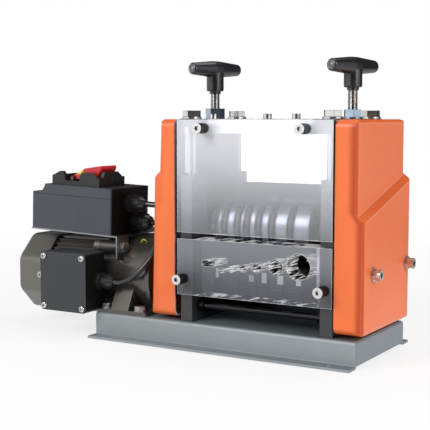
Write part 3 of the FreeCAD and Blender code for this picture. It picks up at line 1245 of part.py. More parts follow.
def make_gearbox_housing():
    """A bell that widens to its flange, with lugs for the tie bolts, a foot and bearing seats."""
    inner_left = GEARBOX_LEFT_X + GEARBOX_WALL
    inner_right = GEARBOX_FLANGE_X - GEARBOX_WALL
    nose_end = GEARBOX_RIGHT_X + GEARBOX_NOSE_LENGTH
    bell = turned("X", 0, FEED_AXIS_Z, [
        (GEARBOX_LEFT_X, 0), (GEARBOX_LEFT_X, GEARBOX_LEFT_RADIUS), (GEARBOX_FLANGE_X, GEARBOX_BELL_RADIUS),
        (GEARBOX_FLANGE_X, GEARBOX_FLANGE_RADIUS), (GEARBOX_RIGHT_X, GEARBOX_FLANGE_RADIUS),
        (GEARBOX_RIGHT_X, GEARBOX_NOSE_RADIUS), (nose_end, GEARBOX_NOSE_RADIUS, 2), (nose_end, 0)])
    floor = BASE_TOP_Z + FOOT_THICKNESS
    half = FOOT_BOLT_Y + M8_WASHER_RADIUS - 1
    leg_top = FEED_AXIS_Z - FOOT_LEG_DROP
    foot = block((FOOT_LEFT_X, FOOT_RIGHT_X), (-half, half), (BASE_TOP_Z, floor))
    parts = [bell, foot]
    for sign in SIDES:
        inner = sign * FOOT_LEG_INNER_Y
        leg = [(inner, leg_top), (sign * FOOT_LEG_TOP_Y, leg_top), (sign * half, floor),
               (sign * half, BASE_TOP_Z), (inner, BASE_TOP_Z)]
        parts.append(prism("X", leg, FOOT_LEFT_X + FOOT_LEG_SPAN[0], FOOT_LEFT_X + FOOT_LEG_SPAN[1]))
    parts += lugs(GEARBOX_LEFT_X, TIE_BOSS_RIGHT_X)
    reach = 2 * GEARBOX_FLANGE_RADIUS
    below = block((GEARBOX_LEFT_X - reach, FOOT_RIGHT_X + reach), (-reach, reach), (-reach, BASE_TOP_Z))
    shape = joined(parts).cut(below)
    cavity = turned("X", 0, FEED_AXIS_Z, [
        (inner_left, 0), (inner_left, bell_radius(inner_left) - GEARBOX_WALL),
        (inner_right, bell_radius(inner_right) - GEARBOX_WALL), (inner_right, 0)])
    cavity = cavity.cut(block((GEARBOX_LEFT_X, GEARBOX_RIGHT_X), (-reach, reach), (-reach, floor)))
    counter_y, counter_z = counter_axis()
    motor_seat = MOTOR_BEARING[1] + BEARING_SHOULDER
    output_seat = OUTPUT_BEARING[1] + BEARING_SHOULDER
    counter_seat = COUNTER_BEARING[1] + COUNTER_SEAT_WALL
    seats = [rod("X", motor_seat, 0, MOTOR_AXIS_Z, GEARBOX_LEFT_X, GEARBOX_LEFT_X + MOTOR_BEARING[2]),
             rod("X", output_seat, 0, FEED_AXIS_Z, GEARBOX_FLANGE_X - OUTPUT_BEARING[2], GEARBOX_FLANGE_X),
             rod("X", counter_seat, counter_y, counter_z, GEARBOX_LEFT_X, inner_left + COUNTER_BEARING[2]),
             rod("X", counter_seat, counter_y, counter_z, inner_right - COUNTER_BEARING[2], GEARBOX_FLANGE_X)]
    bores = [less(cavity, seats)] + drive_bearing_bores()
    bores.append(hole("X", OUTPUT_SHAFT_RADIUS + FREE_GAP, 0, FEED_AXIS_Z, inner_right, nose_end))
    bores.append(hole("X", MOTOR_BEARING[1] - BEARING_SHOULDER, 0, MOTOR_AXIS_Z, GEARBOX_LEFT_X, inner_left))
    bores += tie_bolt_holes(GEARBOX_LEFT_X - 1, TIE_BOSS_RIGHT_X + 1)
    for sign in SIDES:
        for rise in TIE_BOSS_RISES:
            bores.append(rod("X", M8_WASHER_RADIUS, sign * TIE_BOSS_Y, FEED_AXIS_Z + rise,
                             TIE_BOSS_RIGHT_X, TIE_BOSS_RIGHT_X + 2 * M8_HEX_HEIGHT))
    for x in FOOT_BOLTS_X:
        for sign in SIDES:
            bores.append(hole("Z", M8_RADIUS, x, sign * FOOT_BOLT_Y, BASE_TOP_Z, floor))
            bores.append(rod("Z", M8_WASHER_RADIUS + HIDDEN_GAP, x, sign * FOOT_BOLT_Y, floor,
                             floor + FOOT_BOLT_CLEARANCE))
    return less(shape, bores)


def drive_bearing_places():
    """Axis, start, end and radii of each bearing of the motor and gearbox."""
    counter_y, counter_z = counter_axis()
    shield = motor_body_x()[0] + MOTOR_END_SHIELD
    left = GEARBOX_LEFT_X + HIDDEN_GAP
    inner_left = GEARBOX_LEFT_X + GEARBOX_WALL
    inner_right = GEARBOX_FLANGE_X - GEARBOX_WALL
    return [
        (0, MOTOR_AXIS_Z, shield, shield + MOTOR_BEARING[2], MOTOR_BEARING),
        (0, MOTOR_AXIS_Z, left, left + MOTOR_BEARING[2], MOTOR_BEARING),
        (0, FEED_AXIS_Z, GEARBOX_FLANGE_X - OUTPUT_BEARING[2], GEARBOX_FLANGE_X, OUTPUT_BEARING),
        (counter_y, counter_z, inner_left, inner_left + COUNTER_BEARING[2], COUNTER_BEARING),
        (counter_y, counter_z, inner_right - COUNTER_BEARING[2], inner_right, COUNTER_BEARING),
    ]


def drive_bearing_bores():
    """Seats of the gearbox's bearings, each open towards the cavity."""
    shapes = []
    for y, z, start, end, size in drive_bearing_places()[1:]:
        if start < GEARBOX_LEFT_X + GEARBOX_BELL_LENGTH / 2:
            shapes.append(rod("X", size[1], y, z, start, end + OVERRUN))
        else:
            shapes.append(rod("X", size[1], y, z, start - OVERRUN, end))
    return shapes


def make_drive_bearings():
    return [bearing("X", y, z, start, end, size[0] + RUNNING_CLEARANCE, size[1])
            for y, z, start, end, size in drive_bearing_places()]


def make_gearbox_tie_bolts():
    """Bolts that clamp gearbox, bracket and motor flange together."""
    shapes = []
    for sign in SIDES:
        for rise in TIE_BOSS_RISES:
            seat = TIE_BOSS_RIGHT_X + (BRACKET_SHEET if rise > 0 else 0)
            length = seat - GEARBOX_LEFT_X + MOTOR_FLANGE_THICKNESS
            shapes.append(hex_bolt("X", sign * TIE_BOSS_Y, FEED_AXIS_Z + rise, seat, 1,
                                   M8_RADIUS, M8_HEX_FLATS, M8_HEX_HEIGHT, length))
    return shapes


def make_base_bolts():
    """Screws up into the side frames, and the foot's bolts with washers and nuts."""
    shapes = []
    for x in FRAME_MIDDLE_X:
        for sign in SIDES:
            shapes.append(socket_screw("Z", x, sign * frame_arm_middle(), BASE_UNDER_TOP_Z, -1, M8_RADIUS,
                                       M8_HEAD_RADIUS, M8_HEAD_HEIGHT, BASE_SHEET + BASE_SCREW_DEPTH))
    floor = BASE_TOP_Z + FOOT_THICKNESS
    for x in FOOT_BOLTS_X:
        for sign in SIDES:
            y = sign * FOOT_BOLT_Y
            washer_top = floor + M8_WASHER_THICKNESS
            nut_bottom = BASE_UNDER_TOP_Z - M8_HEX_HEIGHT
            shapes.append(tube("Z", M8_WASHER_RADIUS, M8_RADIUS, x, y, floor, washer_top))
            shapes.append(hex_bolt("Z", x, y, washer_top, 1, M8_RADIUS, M8_HEX_FLATS, M8_HEX_HEIGHT,
                                   washer_top - nut_bottom + 3))
            nut = hexagon("Z", M8_HEX_FLATS, x, y, nut_bottom, BASE_UNDER_TOP_Z)
            shapes.append(nut.cut(hole("Z", M8_RADIUS, x, y, nut_bottom, BASE_UNDER_TOP_Z)))
    return shapes


def make_motor_rotor():
    """Shaft with the rotor core and the pinion of the first stage."""
    first = first_stage_x()
    core = stator_x()
    fan_end = MOTOR_CAP_LEFT_X + MOTOR_CAP_WALL + FAN_END_GAP - HIDDEN_GAP
    bearing_end = GEARBOX_LEFT_X + HIDDEN_GAP + MOTOR_BEARING[2]
    shaft = turned("X", 0, MOTOR_AXIS_Z, [
        (fan_end, 0), (fan_end, ROTOR_SHAFT_RADIUS), (core[0], ROTOR_SHAFT_RADIUS), (core[0], ROTOR_RADIUS),
        (core[1], ROTOR_RADIUS), (core[1], ROTOR_SHAFT_RADIUS), (bearing_end, ROTOR_SHAFT_RADIUS),
        (bearing_end, ROTOR_SHAFT_RADIUS / 2), (first[0], ROTOR_SHAFT_RADIUS / 2), (first[0], 0)])
    counter_y, counter_z = counter_axis()
    towards = math.atan2(counter_z - MOTOR_AXIS_Z, counter_y)
    pinion = gear(FIRST_STAGE_MODULE, FIRST_STAGE_TEETH[0], SMALL_GEAR_BACKLASH, (0, MOTOR_AXIS_Z),
                  first[0], first[1], towards, SMALL_GEAR_ADDENDUM)
    return joined([shaft, pinion])


def make_motor_fan():
    start = MOTOR_CAP_LEFT_X + MOTOR_CAP_WALL + FAN_END_GAP
    disc = rod("X", FAN_RADIUS, 0, MOTOR_AXIS_Z, start + FAN_WIDTH - FAN_SHEET, start + FAN_WIDTH)
    parts = [disc, rod("X", FAN_HUB_RADIUS, 0, MOTOR_AXIS_Z, start, start + FAN_WIDTH)]
    for index in range(FAN_BLADES):
        blade = block((start, start + FAN_WIDTH), (FAN_HUB_RADIUS - FAN_SHEET, FAN_RADIUS - FAN_SHEET / 2),
                      (MOTOR_AXIS_Z - FAN_SHEET / 2, MOTOR_AXIS_Z + FAN_SHEET / 2))
        blade.rotate(V(0, 0, MOTOR_AXIS_Z), X_DIR, 360 * index / FAN_BLADES)
        parts.append(blade)
    bore = hole("X", ROTOR_SHAFT_RADIUS, 0, MOTOR_AXIS_Z, start, start + FAN_WIDTH)
    return joined(parts).cut(bore)


def make_countershaft():
    """Shaft with the wheel of the first stage and the pinion of the second."""
    y, z = counter_axis()
    first = first_stage_x()
    second = second_stage_x()
    back = math.atan2(MOTOR_AXIS_Z - z, -y)
    towards = math.atan2(FEED_AXIS_Z - z, -y)
    start = GEARBOX_LEFT_X + GEARBOX_WALL
    end = GEARBOX_FLANGE_X - GEARBOX_WALL
    shaft = rod("X", COUNTER_BEARING[0], y, z, start, end)
    wheel = gear(FIRST_STAGE_MODULE, FIRST_STAGE_TEETH[1], SMALL_GEAR_BACKLASH, (y, z), first[0], first[1],
                 back + math.pi / FIRST_STAGE_TEETH[1], SMALL_GEAR_ADDENDUM)
    pinion = gear(SECOND_STAGE_MODULE, SECOND_STAGE_TEETH[0], SMALL_GEAR_BACKLASH, (y, z),
                  second[0], second[1], towards, SMALL_GEAR_ADDENDUM)
    return joined([shaft, wheel, pinion])


def make_output_shaft():
    """Wheel of the second stage on the shaft that leaves through the gearbox's nose."""
    y, z = counter_axis()
    second = second_stage_x()
    back = math.atan2(z - FEED_AXIS_Z, y)
    wheel = gear(SECOND_STAGE_MODULE, SECOND_STAGE_TEETH[1], SMALL_GEAR_BACKLASH, (0, FEED_AXIS_Z),
                 second[0], second[1], back + math.pi / SECOND_STAGE_TEETH[1], SMALL_GEAR_ADDENDUM)
    shaft = rod("X", OUTPUT_SHAFT_RADIUS, 0, FEED_AXIS_Z, second[0], coupling_x()[1])
    return joined([wheel, shaft])


def coupling_x():
    """X of the coupling's left face, first hub's end, second hub's start and right face."""
    right = FRAME_OUTER_X[0] - COUPLING_FRAME_GAP
    second = right - COUPLING_HUB
    first = second - COUPLING_SPIDER
    return first - COUPLING_HUB, first, second, right


def make_shaft_coupling():
    """Two hubs with three jaws each and an elastic star between the jaws."""
    left, first, second, right = coupling_x()
    jaw_outer = COUPLING_RADIUS - 0.5
    jaw_inner = COUPLING_STAR_RADIUS + 0.9
    jaw_form = [(jaw_inner, -3.5), (jaw_outer, -4.5), (jaw_outer, 4.5), (jaw_inner, 3.5)]
    hubs = []
    for index, (start, end) in enumerate(((left, first), (second, right))):
        radius = OUTPUT_SHAFT_RADIUS if index == 0 else ARBOR_END_RADIUS
        hub = rod("X", COUPLING_RADIUS, 0, FEED_AXIS_Z, start, end)
        parts = [hub]
        for jaw in range(COUPLING_JAWS):
            span = (first - 1, second - FREE_GAP) if index == 0 else (first + FREE_GAP, second + 1)
            tooth = prism("X", jaw_form, span[0], span[1])
            tooth.rotate(V(0, 0, 0), X_DIR, 120 * jaw + 60 * index)
            tooth.translate(V(0, 0, FEED_AXIS_Z))
            parts.append(tooth)
        bore = hole("X", radius, 0, FEED_AXIS_Z, start, end)
        hubs.append(joined(parts).cut(bore))
    star = [tube("X", COUPLING_STAR_RADIUS, ARBOR_END_RADIUS * 0.6, 0, FEED_AXIS_Z, first, second)]
    for arm in range(2 * COUPLING_JAWS):
        bar = block((first, second), (7, COUPLING_RADIUS - 1), (-1.4, 1.4))
        bar.rotate(V(0, 0, 0), X_DIR, 60 * arm + 30)
        bar.translate(V(0, 0, FEED_AXIS_Z))
        star.append(bar)
    return hubs + [joined(star)]


def make_terminal_box():
    """The box's body, open to the front, screwed to the pad on the motor."""
    front = TERMINAL_BOX_FRONT_Y + TERMINAL_LID_THICKNESS
    form = rounded(TERMINAL_BOX_X, TERMINAL_BOX_Z, TERMINAL_CORNER_RADIUS)
    outer = prism("Y", form, front, TERMINAL_BOX_BACK_Y)
    inner_x = (TERMINAL_BOX_X[0] + TERMINAL_WALL, TERMINAL_BOX_X[1] - TERMINAL_WALL)
    inner_z = (TERMINAL_BOX_Z[0] + TERMINAL_WALL, TERMINAL_BOX_Z[1] - TERMINAL_WALL)
    cavity = prism("Y", rounded(inner_x, inner_z, TERMINAL_CORNER_RADIUS - TERMINAL_WALL),
                   front - 1, TERMINAL_BOX_BACK_Y - TERMINAL_WALL)
    posts = []
    holes = []
    for x, z in terminal_screw_places():
        posts.append(rod("Y", TERMINAL_POST_RADIUS, x, z, front, TERMINAL_BOX_BACK_Y - TERMINAL_WALL))
        holes.append(hole("Y", TERMINAL_SCREW_RADIUS, x, z, front, front + TERMINAL_SCREW_LENGTH))
    body = outer.cut(less(cavity, posts))
    return less(body, holes)


def terminal_screw_places():
    inset = TERMINAL_SCREW_INSET
    return [(x, z) for x in (TERMINAL_BOX_X[0] + inset, TERMINAL_BOX_X[1] - inset)
            for z in (TERMINAL_BOX_Z[0] + inset, TERMINAL_BOX_Z[1] - inset)]


def make_terminal_box_lid():
    front = TERMINAL_BOX_FRONT_Y
    lid = prism("Y", rounded(TERMINAL_BOX_X, TERMINAL_BOX_Z, TERMINAL_CORNER_RADIUS), front,
                front + TERMINAL_LID_THICKNESS)
    return less(lid, [hole("Y", TERMINAL_SCREW_RADIUS, x, z, front, front + TERMINAL_LID_THICKNESS)
                      for x, z in terminal_screw_places()])


def make_terminal_box_screws():
    """Dome-headed corner screws of the lid."""
    shapes = []
    front = TERMINAL_BOX_FRONT_Y
    radius, height = TERMINAL_SCREW_HEAD
    top = front - height
    cross_y = (top - OVERRUN, front - height / 2)
    long, thin = 0.57 * radius, 0.12 * radius
    for x, z in terminal_screw_places():
        head = turned("Y", x, z, [(top, 0), (top, radius, height * 0.67), (front, radius), (front, 0)])
        shank = rod("Y", TERMINAL_SCREW_RADIUS, x, z, front,
                    front + TERMINAL_LID_THICKNESS + TERMINAL_SCREW_LENGTH)
        cross = [block((x - long, x + long), cross_y, (z - thin, z + thin)),
                 block((x - thin, x + thin), cross_y, (z - long, z + long))]
        shapes.append(less(joined([head, shank]), cross))
    return shapes


def gland(x, y, z, length, dome_radius, flats):
    """A cable gland along X: a hexagon on the wall and a ribbed nut that narrows to its mouth."""
    hexagon_end = x + GLAND_HEX_LENGTH
    mouth = x + length
    base = hexagon("X", flats, y, z, x, hexagon_end)
    dome = turned("X", y, z, [(hexagon_end - 0.5, 0), (hexagon_end - 0.5, dome_radius - 1.5),
                              (mouth - 7, dome_radius - 1.5), (mouth, dome_radius - 4, 1.5), (mouth, 0)])
    parts = [base, dome]
    for rib in range(12):
        bar = block((hexagon_end, mouth - 7), (dome_radius - 2.5, dome_radius), (-1, 1))
        bar.rotate(V(0, 0, 0), X_DIR, 30 * rib)
        bar.translate(V(0, y, z))
        parts.append(bar)
    return joined(parts)


def tilted(shape):
    """Turn a shape of the switch box about the bracket's bend, its right end down."""
    copy = shape.copy()
    copy.rotate(V(BRACKET_BEND_X, 0, BRACKET_Z), Y_DIR, BOX_TILT_DEGREES)
    return copy


def tilted_point(x, y, z):
    angle = math.radians(BOX_TILT_DEGREES)
    dx, dz = x - BRACKET_BEND_X, z - BRACKET_Z
    return V(BRACKET_BEND_X + dx * math.cos(angle) + dz * math.sin(angle), y,
             BRACKET_Z - dx * math.sin(angle) + dz * math.cos(angle))


def make_cable_glands():
    """Glands of the terminal box and of the switch box, upper for the mains, lower for the motor."""
    shapes = [gland(TERMINAL_BOX_X[1], TERMINAL_GLAND_Y, TERMINAL_GLAND_Z, TERMINAL_GLAND_LENGTH,
                    GLAND_DOME_RADIUS, GLAND_HEX_FLATS)]
    wall = SWITCH_BOX_X[1]
    shapes.append(tilted(gland(wall, UPPER_GLAND_PLACE[0], UPPER_GLAND_PLACE[1], SWITCH_GLAND_LENGTH,
                               GLAND_DOME_RADIUS, GLAND_HEX_FLATS)))
    shapes.append(tilted(gland(wall, LOWER_GLAND_PLACE[0], LOWER_GLAND_PLACE[1], SWITCH_GLAND_LENGTH,
                               LOWER_GLAND_DOME, LOWER_GLAND_FLATS)))
    return shapes


def make_switch_bracket():
    """A bent sheet: a long shelf under the switch box, with a tab down to each upper tie bolt."""
    right = BRACKET_BEND_X
    top = BRACKET_Z
    shelf = tilted(prism("Y", [(SWITCH_BOX_X[0], top - BRACKET_SHEET), (right, top - BRACKET_SHEET),
                               (right, top, BRACKET_SHEET * 0.9), (SWITCH_BOX_X[0], top)],
                         BRACKET_FRONT_Y, BRACKET_BACK_Y))
    parts = [shelf]
    tools = []
    hole_z = FEED_AXIS_Z + TIE_BOSS_RISES[0]
    for sign in SIDES:
        edge = BRACKET_FRONT_Y if sign < 0 else BRACKET_BACK_Y
        y = sorted((edge, edge - sign * BRACKET_TAB_WIDTH))
        parts.append(prism("X", [(y[0], top - BRACKET_SHEET / 2), (y[0], top - BRACKET_TAB_LENGTH, 4),
                                 (y[1], top - BRACKET_TAB_LENGTH, 4), (y[1], top - BRACKET_SHEET / 2)],
                           TIE_BOSS_RIGHT_X, right))
        tools.append(hole("X", M8_RADIUS, sign * TIE_BOSS_Y, hole_z, TIE_BOSS_RIGHT_X, right))
    tools.append(hole("X", bell_radius(right) + FREE_GAP, 0, FEED_AXIS_Z, TIE_BOSS_RIGHT_X, right))
    return less(joined(parts), tools)


def seam_z():
    return BRACKET_Z + SWITCH_BOX_HEIGHT


def lid_top():
    return seam_z() + SWITCH_LID_HEIGHT


def make_switch_box():
    """The box's body, open upwards."""
    outer = prism("Z", rounded(SWITCH_BOX_X, SWITCH_BOX_Y, SWITCH_BOX_CORNER_RADIUS), BRACKET_Z, seam_z())
    wall = SWITCH_BOX_WALL
    inner_x = (SWITCH_BOX_X[0] + wall, SWITCH_BOX_X[1] - wall)
    inner_y = (SWITCH_BOX_Y[0] + wall, SWITCH_BOX_Y[1] - wall)
    cavity = block(inner_x, inner_y, (BRACKET_Z + wall, seam_z() + OVERRUN))
    return tilted(outer.cut(cavity))


def make_switch_box_lid():
    """A lid with a straight right end and a cove down to its seam at the left."""
    left, right = SWITCH_BOX_X
    low, high = seam_z(), lid_top()
    rim_z = low + SWITCH_LID_RIM
    cove_top_x = left + SWITCH_LID_LEFT_STEP + SWITCH_LID_COVE
    cove_foot_x = left + SWITCH_LID_LEFT_STEP - 1
    cove_middle = V(cove_top_x - SWITCH_LID_COVE * 0.45, 0, high - (high - rim_z) * 0.72)
    corners = [V(cove_foot_x, 0, rim_z), V(left, 0, rim_z), V(left, 0, low), V(right, 0, low),
               V(right, 0, high), V(cove_top_x, 0, high)]
    edges = [Part.makeLine(a, b) for a, b in zip(corners, corners[1:])]
    edges.append(Part.Arc(corners[-1], cove_middle, corners[0]).toShape())
    profile = Part.Wire(edges)
    face = Part.Face(profile)
    face.translate(V(0, SWITCH_BOX_Y[0], 0))
    body = face.extrude(V(0, SWITCH_BOX_Y[1] - SWITCH_BOX_Y[0], 0))
    body = body.common(prism("Z", rounded(SWITCH_BOX_X, SWITCH_BOX_Y, SWITCH_BOX_CORNER_RADIUS), low, high))
    wall = SWITCH_BOX_WALL
    inner_y = (SWITCH_BOX_Y[0] + wall, SWITCH_BOX_Y[1] - wall)
    cavity = block((cove_top_x + wall, right - wall), inner_y, (low - OVERRUN, high - wall))
    rim = MODULE_SEAT_RIM
    opening = block((MODULE_X[0] + rim, MODULE_X[1] - rim), (MODULE_Y[0] + rim, MODULE_Y[1] - rim),
                    (high - wall - OVERRUN, high + OVERRUN))
    return tilted(less(body, [cavity, opening]))


def trapezoid(low, high, top_low, top_high, base_z, top_z):
    return [(low, base_z), (high, base_z), (top_high, top_z), (top_low, top_z)]


def make_switch_module():
    """The switch's frame: a tray with raised trapezoid guards round the flap."""
    base = lid_top()
    rim = base + MODULE_HEIGHT
    top = base + MODULE_GUARD_HEIGHT
    floor = rim - MODULE_RECESS_DEPTH
    t = MODULE_GUARD_THICKNESS
    tray = block(MODULE_X, MODULE_Y, (base, rim))
    recess = block((MODULE_X[0] + t, MODULE_X[1] - t), (MODULE_Y[0] + t, MODULE_Y[1] - t), (floor, rim + 1))
    notch_x = (MODULE_X[0] + MODULE_NOTCH[0], MODULE_X[0] + MODULE_NOTCH[1])
    parts = [tray]
    for y in ((MODULE_Y[0], MODULE_Y[0] + t), (MODULE_Y[1] - t, MODULE_Y[1])):
        left = trapezoid(MODULE_X[0], notch_x[0], MODULE_X[0] + 12.5, MODULE_X[0] + 18, rim - 1, top)
        right = trapezoid(notch_x[1], MODULE_X[1] - 3, notch_x[1] + 3.5, MODULE_X[1] - 11, rim - 1, top)
        parts.append(prism("Y", left, y[0], y[1]))
        parts.append(prism("Y", right, y[0], y[1]))
    low_y, high_y = MODULE_Y
    side = trapezoid(low_y + 9, high_y - 10, low_y + 12, high_y - 17, rim - 1, top + 1.5)
    parts.append(prism("X", side, MODULE_X[1] - t, MODULE_X[1]))
    notches = [block(notch_x, (y - 1, y + t + 1), (floor, rim + 1)) for y in (MODULE_Y[0], MODULE_Y[1] - t)]
    wells = [block((x - BUTTON_SIZE_X / 2 - FREE_GAP, x + BUTTON_SIZE_X / 2 + FREE_GAP),
                   (button_y() - BUTTON_SIZE_Y / 2 - FREE_GAP, button_y() + BUTTON_SIZE_Y / 2 + FREE_GAP),
                   (floor - BUTTON_HEIGHT, floor + 1)) for x in button_xs()]
    ears = []
    for y in flap_pin_y():
        ears.append(block((FLAP_X[0] - 3.2, FLAP_X[0] + 3.2), y, (floor, floor + 6)))
    shape = joined([less(joined(parts), [recess] + notches)] + ears)
    pin = rod("Y", FLAP_PIN_RADIUS + RUNNING_CLEARANCE, FLAP_X[0], floor + 3, MODULE_Y[0], MODULE_Y[1])
    keep = block((FLAP_X[0] - 4, FLAP_X[0] + 4), (flap_pin_y()[0][0], flap_pin_y()[1][1]), (floor, floor + 7))
    return tilted(less(shape, wells + [pin.common(keep)]))


def flap_pin_y():
    """Y of the two ears that hold the flap's pin."""
    return [(FLAP_Y[0] - 3.4, FLAP_Y[0] - FREE_GAP), (FLAP_Y[1] + FREE_GAP, FLAP_Y[1] + 3.4)]


def button_y():
    return (FLAP_Y[0] + FLAP_Y[1]) / 2


def button_xs():
    middle = (FLAP_X[0] + FLAP_X[1]) / 2
    return middle - BUTTON_SIZE_X / 2 - 1.5, middle + BUTTON_SIZE_X / 2 + 1.5


def flap_axis_z():
    return lid_top() + MODULE_HEIGHT - MODULE_RECESS_DEPTH + 3


def make_stop_flap():
    """A wedge-shaped flap, hollow below, hinged at its low left end."""
    x0, x1 = FLAP_X
    low = flap_axis_z() - 0.4
    knuckle_z = flap_axis_z()
    wedge = [(x0 + 1, low), (x0 - 1.8, low, 0.8), (x0 - 1.8, low + 3, 0.8), (x0 + 19, low + 14.4, 1),
             (x1, low + 18.9, 1), (x1 + 1.5, low + 15.5), (x1 - 3.5, low + 6), (x1 - 3.5, low)]
    body = prism("Y", wedge, FLAP_Y[0], FLAP_Y[1])
    wall = 2.2
    hollow = [(x0 + 5, low - OVERRUN), (x0 + 5, low + 4), (x0 + 20, low + 11.5), (x1 - 6, low + 14.6),
              (x1 - 6, low - OVERRUN)]
    cavity = prism("Y", hollow, FLAP_Y[0] + wall, FLAP_Y[1] - wall)
    pin = rod("Y", FLAP_PIN_RADIUS, x0, knuckle_z, flap_pin_y()[0][0], flap_pin_y()[1][1])
    return tilted(joined([body.cut(cavity), pin]))


def make_button(index):
    x = button_xs()[index]
    floor = flap_axis_z() - 3
    half_x, half_y = BUTTON_SIZE_X / 2, BUTTON_SIZE_Y / 2
    top = floor + BUTTON_HEIGHT
    low = floor - BUTTON_HEIGHT + BUTTON_TRAVEL + FREE_GAP
    y = button_y()
    form = rounded((x - half_x, x + half_x), (y - half_y, y + half_y), BUTTON_CORNER_RADIUS)
    return tilted(prism("Z", form, low, top))


def rounded_route(points, share=0.45):
    """Straight runs joined by tangent arcs, each as large as its two runs allow."""
    edges = []
    radii = []
    cursor = points[0]
    for index in range(1, len(points) - 1):
        back = points[index - 1] - points[index]
        ahead = points[index + 1] - points[index]
        half_turn = (math.pi - back.getAngle(ahead)) / 2
        reach = share * min(back.Length, ahead.Length)
        radius = reach / math.tan(half_turn)
        radii.append(radius)
        u, w = V(back).normalize(), V(ahead).normalize()
        start = points[index] + u * reach
        end = points[index] + w * reach
        centre = points[index] + (u + w).normalize() * (radius / math.cos(half_turn))
        middle = centre + (points[index] - centre).normalize() * radius
        edges.append(Part.makeLine(cursor, start))
        edges.append(Part.Arc(start, middle, end).toShape())
        cursor = end
    edges.append(Part.makeLine(cursor, points[-1]))
    return edges, radii


def swept_cord(name, edges, radius, start, direction):
    """A round tube along joined edges; prints its length and checks its volume."""
    wire = Part.Wire(edges)
    circle = Part.Wire([Part.makeCircle(radius, start, direction)])
    solid = wire.makePipeShell([circle], True, False)
    if solid.Volume < 0:
        solid.reverse()
    length = sum(edge.Length for edge in edges)
    share = solid.Volume / (math.pi * radius ** 2 * length)
    print(name, "length", round(length, 1), "mm, volume over section times length", round(share, 4))
    return solid


def cord_along(name, points, radius):
    edges, radii = rounded_route(points)
    print(name, "bend radii", [round(value, 1) for value in radii])
    return swept_cord(name, edges, radius, points[0], points[1] - points[0])


def gland_mouth(place, length):
    return tilted_point(SWITCH_BOX_X[1] + length, place[0], place[1])


def tilted_direction():
    return tilted_point(1, 0, 0) - tilted_point(0, 0, 0)


# Points of the motor cable between its two glands, X from the gearbox's left face
MOTOR_CABLE_POINTS = [
    (60.0, -68.5, 77.0),
    (75.0, -64.5, 90.0),
    (86.0, -53.5, 107.0),
    (90.0, -38.5, 124.0),
    (86.0, -23.5, 137.0),
    (75.0, -12.5, 143.0),
]


def make_motor_cable():
    start = V(TERMINAL_BOX_X[1] + TERMINAL_GLAND_LENGTH, TERMINAL_GLAND_Y, TERMINAL_GLAND_Z)
    end = gland_mouth(LOWER_GLAND_PLACE, SWITCH_GLAND_LENGTH)
    points = [start, start + V(CABLE_LEAD, 0, 0)]
    points += [V(GEARBOX_LEFT_X + x, y, z) for x, y, z in MOTOR_CABLE_POINTS]
    points += [end + tilted_direction() * CABLE_LEAD, end]
    return cord_along("motor_cable", points, MOTOR_CABLE_RADIUS)


# Points of the mains cord, X from the gearbox's left face: first behind the left cover, with Y as it is
MAINS_CORD_UPPER_POINTS = [
    (74.0, -20.0, 168.0),
    (84.5, -11.5, 166.5),
    (89.5, 2.0, 164.0),
    (90.0, 18.0, 159.5),
    (88.0, 38.0, 151.0),
    (84.0, 60.0, 136.5),
]
# Then down to the floor and to the coil, with Y from the base's back edge
MAINS_CORD_LOWER_POINTS = [
    (79.0, -11.0, 113.0),
    (74.0, 6.0, 83.0),
    (72.5, 16.0, 53.0),
    (77.5, 20.0, 30.0),
    (90.0, 22.0, 13.5),
    (111.0, 21.0, 4.6),
    (135.0, 17.5, 3.75),
    (159.0, 14.0, 3.75),
]


def coil_place(turn):
    """A point of the coil after a number of turns: in on the floor, up, and out on top."""
    turns_in = MAINS_COIL_TURNS_IN
    climb_end = turns_in + 0.5
    inner = MAINS_COIL_RADIUS - MAINS_COIL_STEP * turns_in
    low = MAINS_CORD_RADIUS
    if turn <= turns_in:
        radius = MAINS_COIL_RADIUS - MAINS_COIL_STEP * turn
        height = low
    elif turn <= climb_end:
        share = (turn - turns_in) / 0.5
        radius = inner - MAINS_COIL_CLIMB_DIP * math.sin(math.pi * share) ** 2
        height = low + MAINS_COIL_STEP * share * share * (3 - 2 * share)
    else:
        radius = inner + MAINS_COIL_STEP * (turn - climb_end)
        height = low + MAINS_COIL_STEP
    angle = 2 * math.pi * (turn - 0.25)
    x, y = MAINS_COIL_CENTRE
    return V(x + radius * math.cos(angle), y + radius * math.sin(angle), height)


def coil_turns():
    return MAINS_COIL_TURNS_IN + 0.5 + MAINS_COIL_TURNS_OUT


def coil_direction(turn):
    step = 1e-4
    low, high = max(turn - step, 0), min(turn + step, coil_turns())
    return (coil_place(high) - coil_place(low)).normalize()


def arc_through(start, direction, end):
    """An arc that leaves its start along a direction and ends at a point."""
    chord = end - start
    unit = V(chord).normalize()
    side = direction - unit * direction.dot(unit)
    if side.Length < 1e-6:
        return Part.makeLine(start, end)
    sagitta = chord.Length / 2 * math.tan(direction.getAngle(unit) / 2)
    return Part.Arc(start, start + chord * 0.5 + side.normalize() * sagitta, end).toShape()


def biarc(start, start_direction, end, end_direction):
    """Two arcs that join tangentially and match both ends' directions."""
    chord = end - start
    total = start_direction + end_direction
    a = 2 * (1 - start_direction.dot(end_direction))
    b = 2 * chord.dot(total)
    c = -chord.dot(chord)
    reach = -c / b if a < 1e-9 else (-b + math.sqrt(b * b - 4 * a * c)) / (2 * a)
    joint = (start + end + (start_direction - end_direction) * reach) * 0.5
    last = arc_through(end, end_direction * -1, joint)
    return [arc_through(start, start_direction, joint), last]


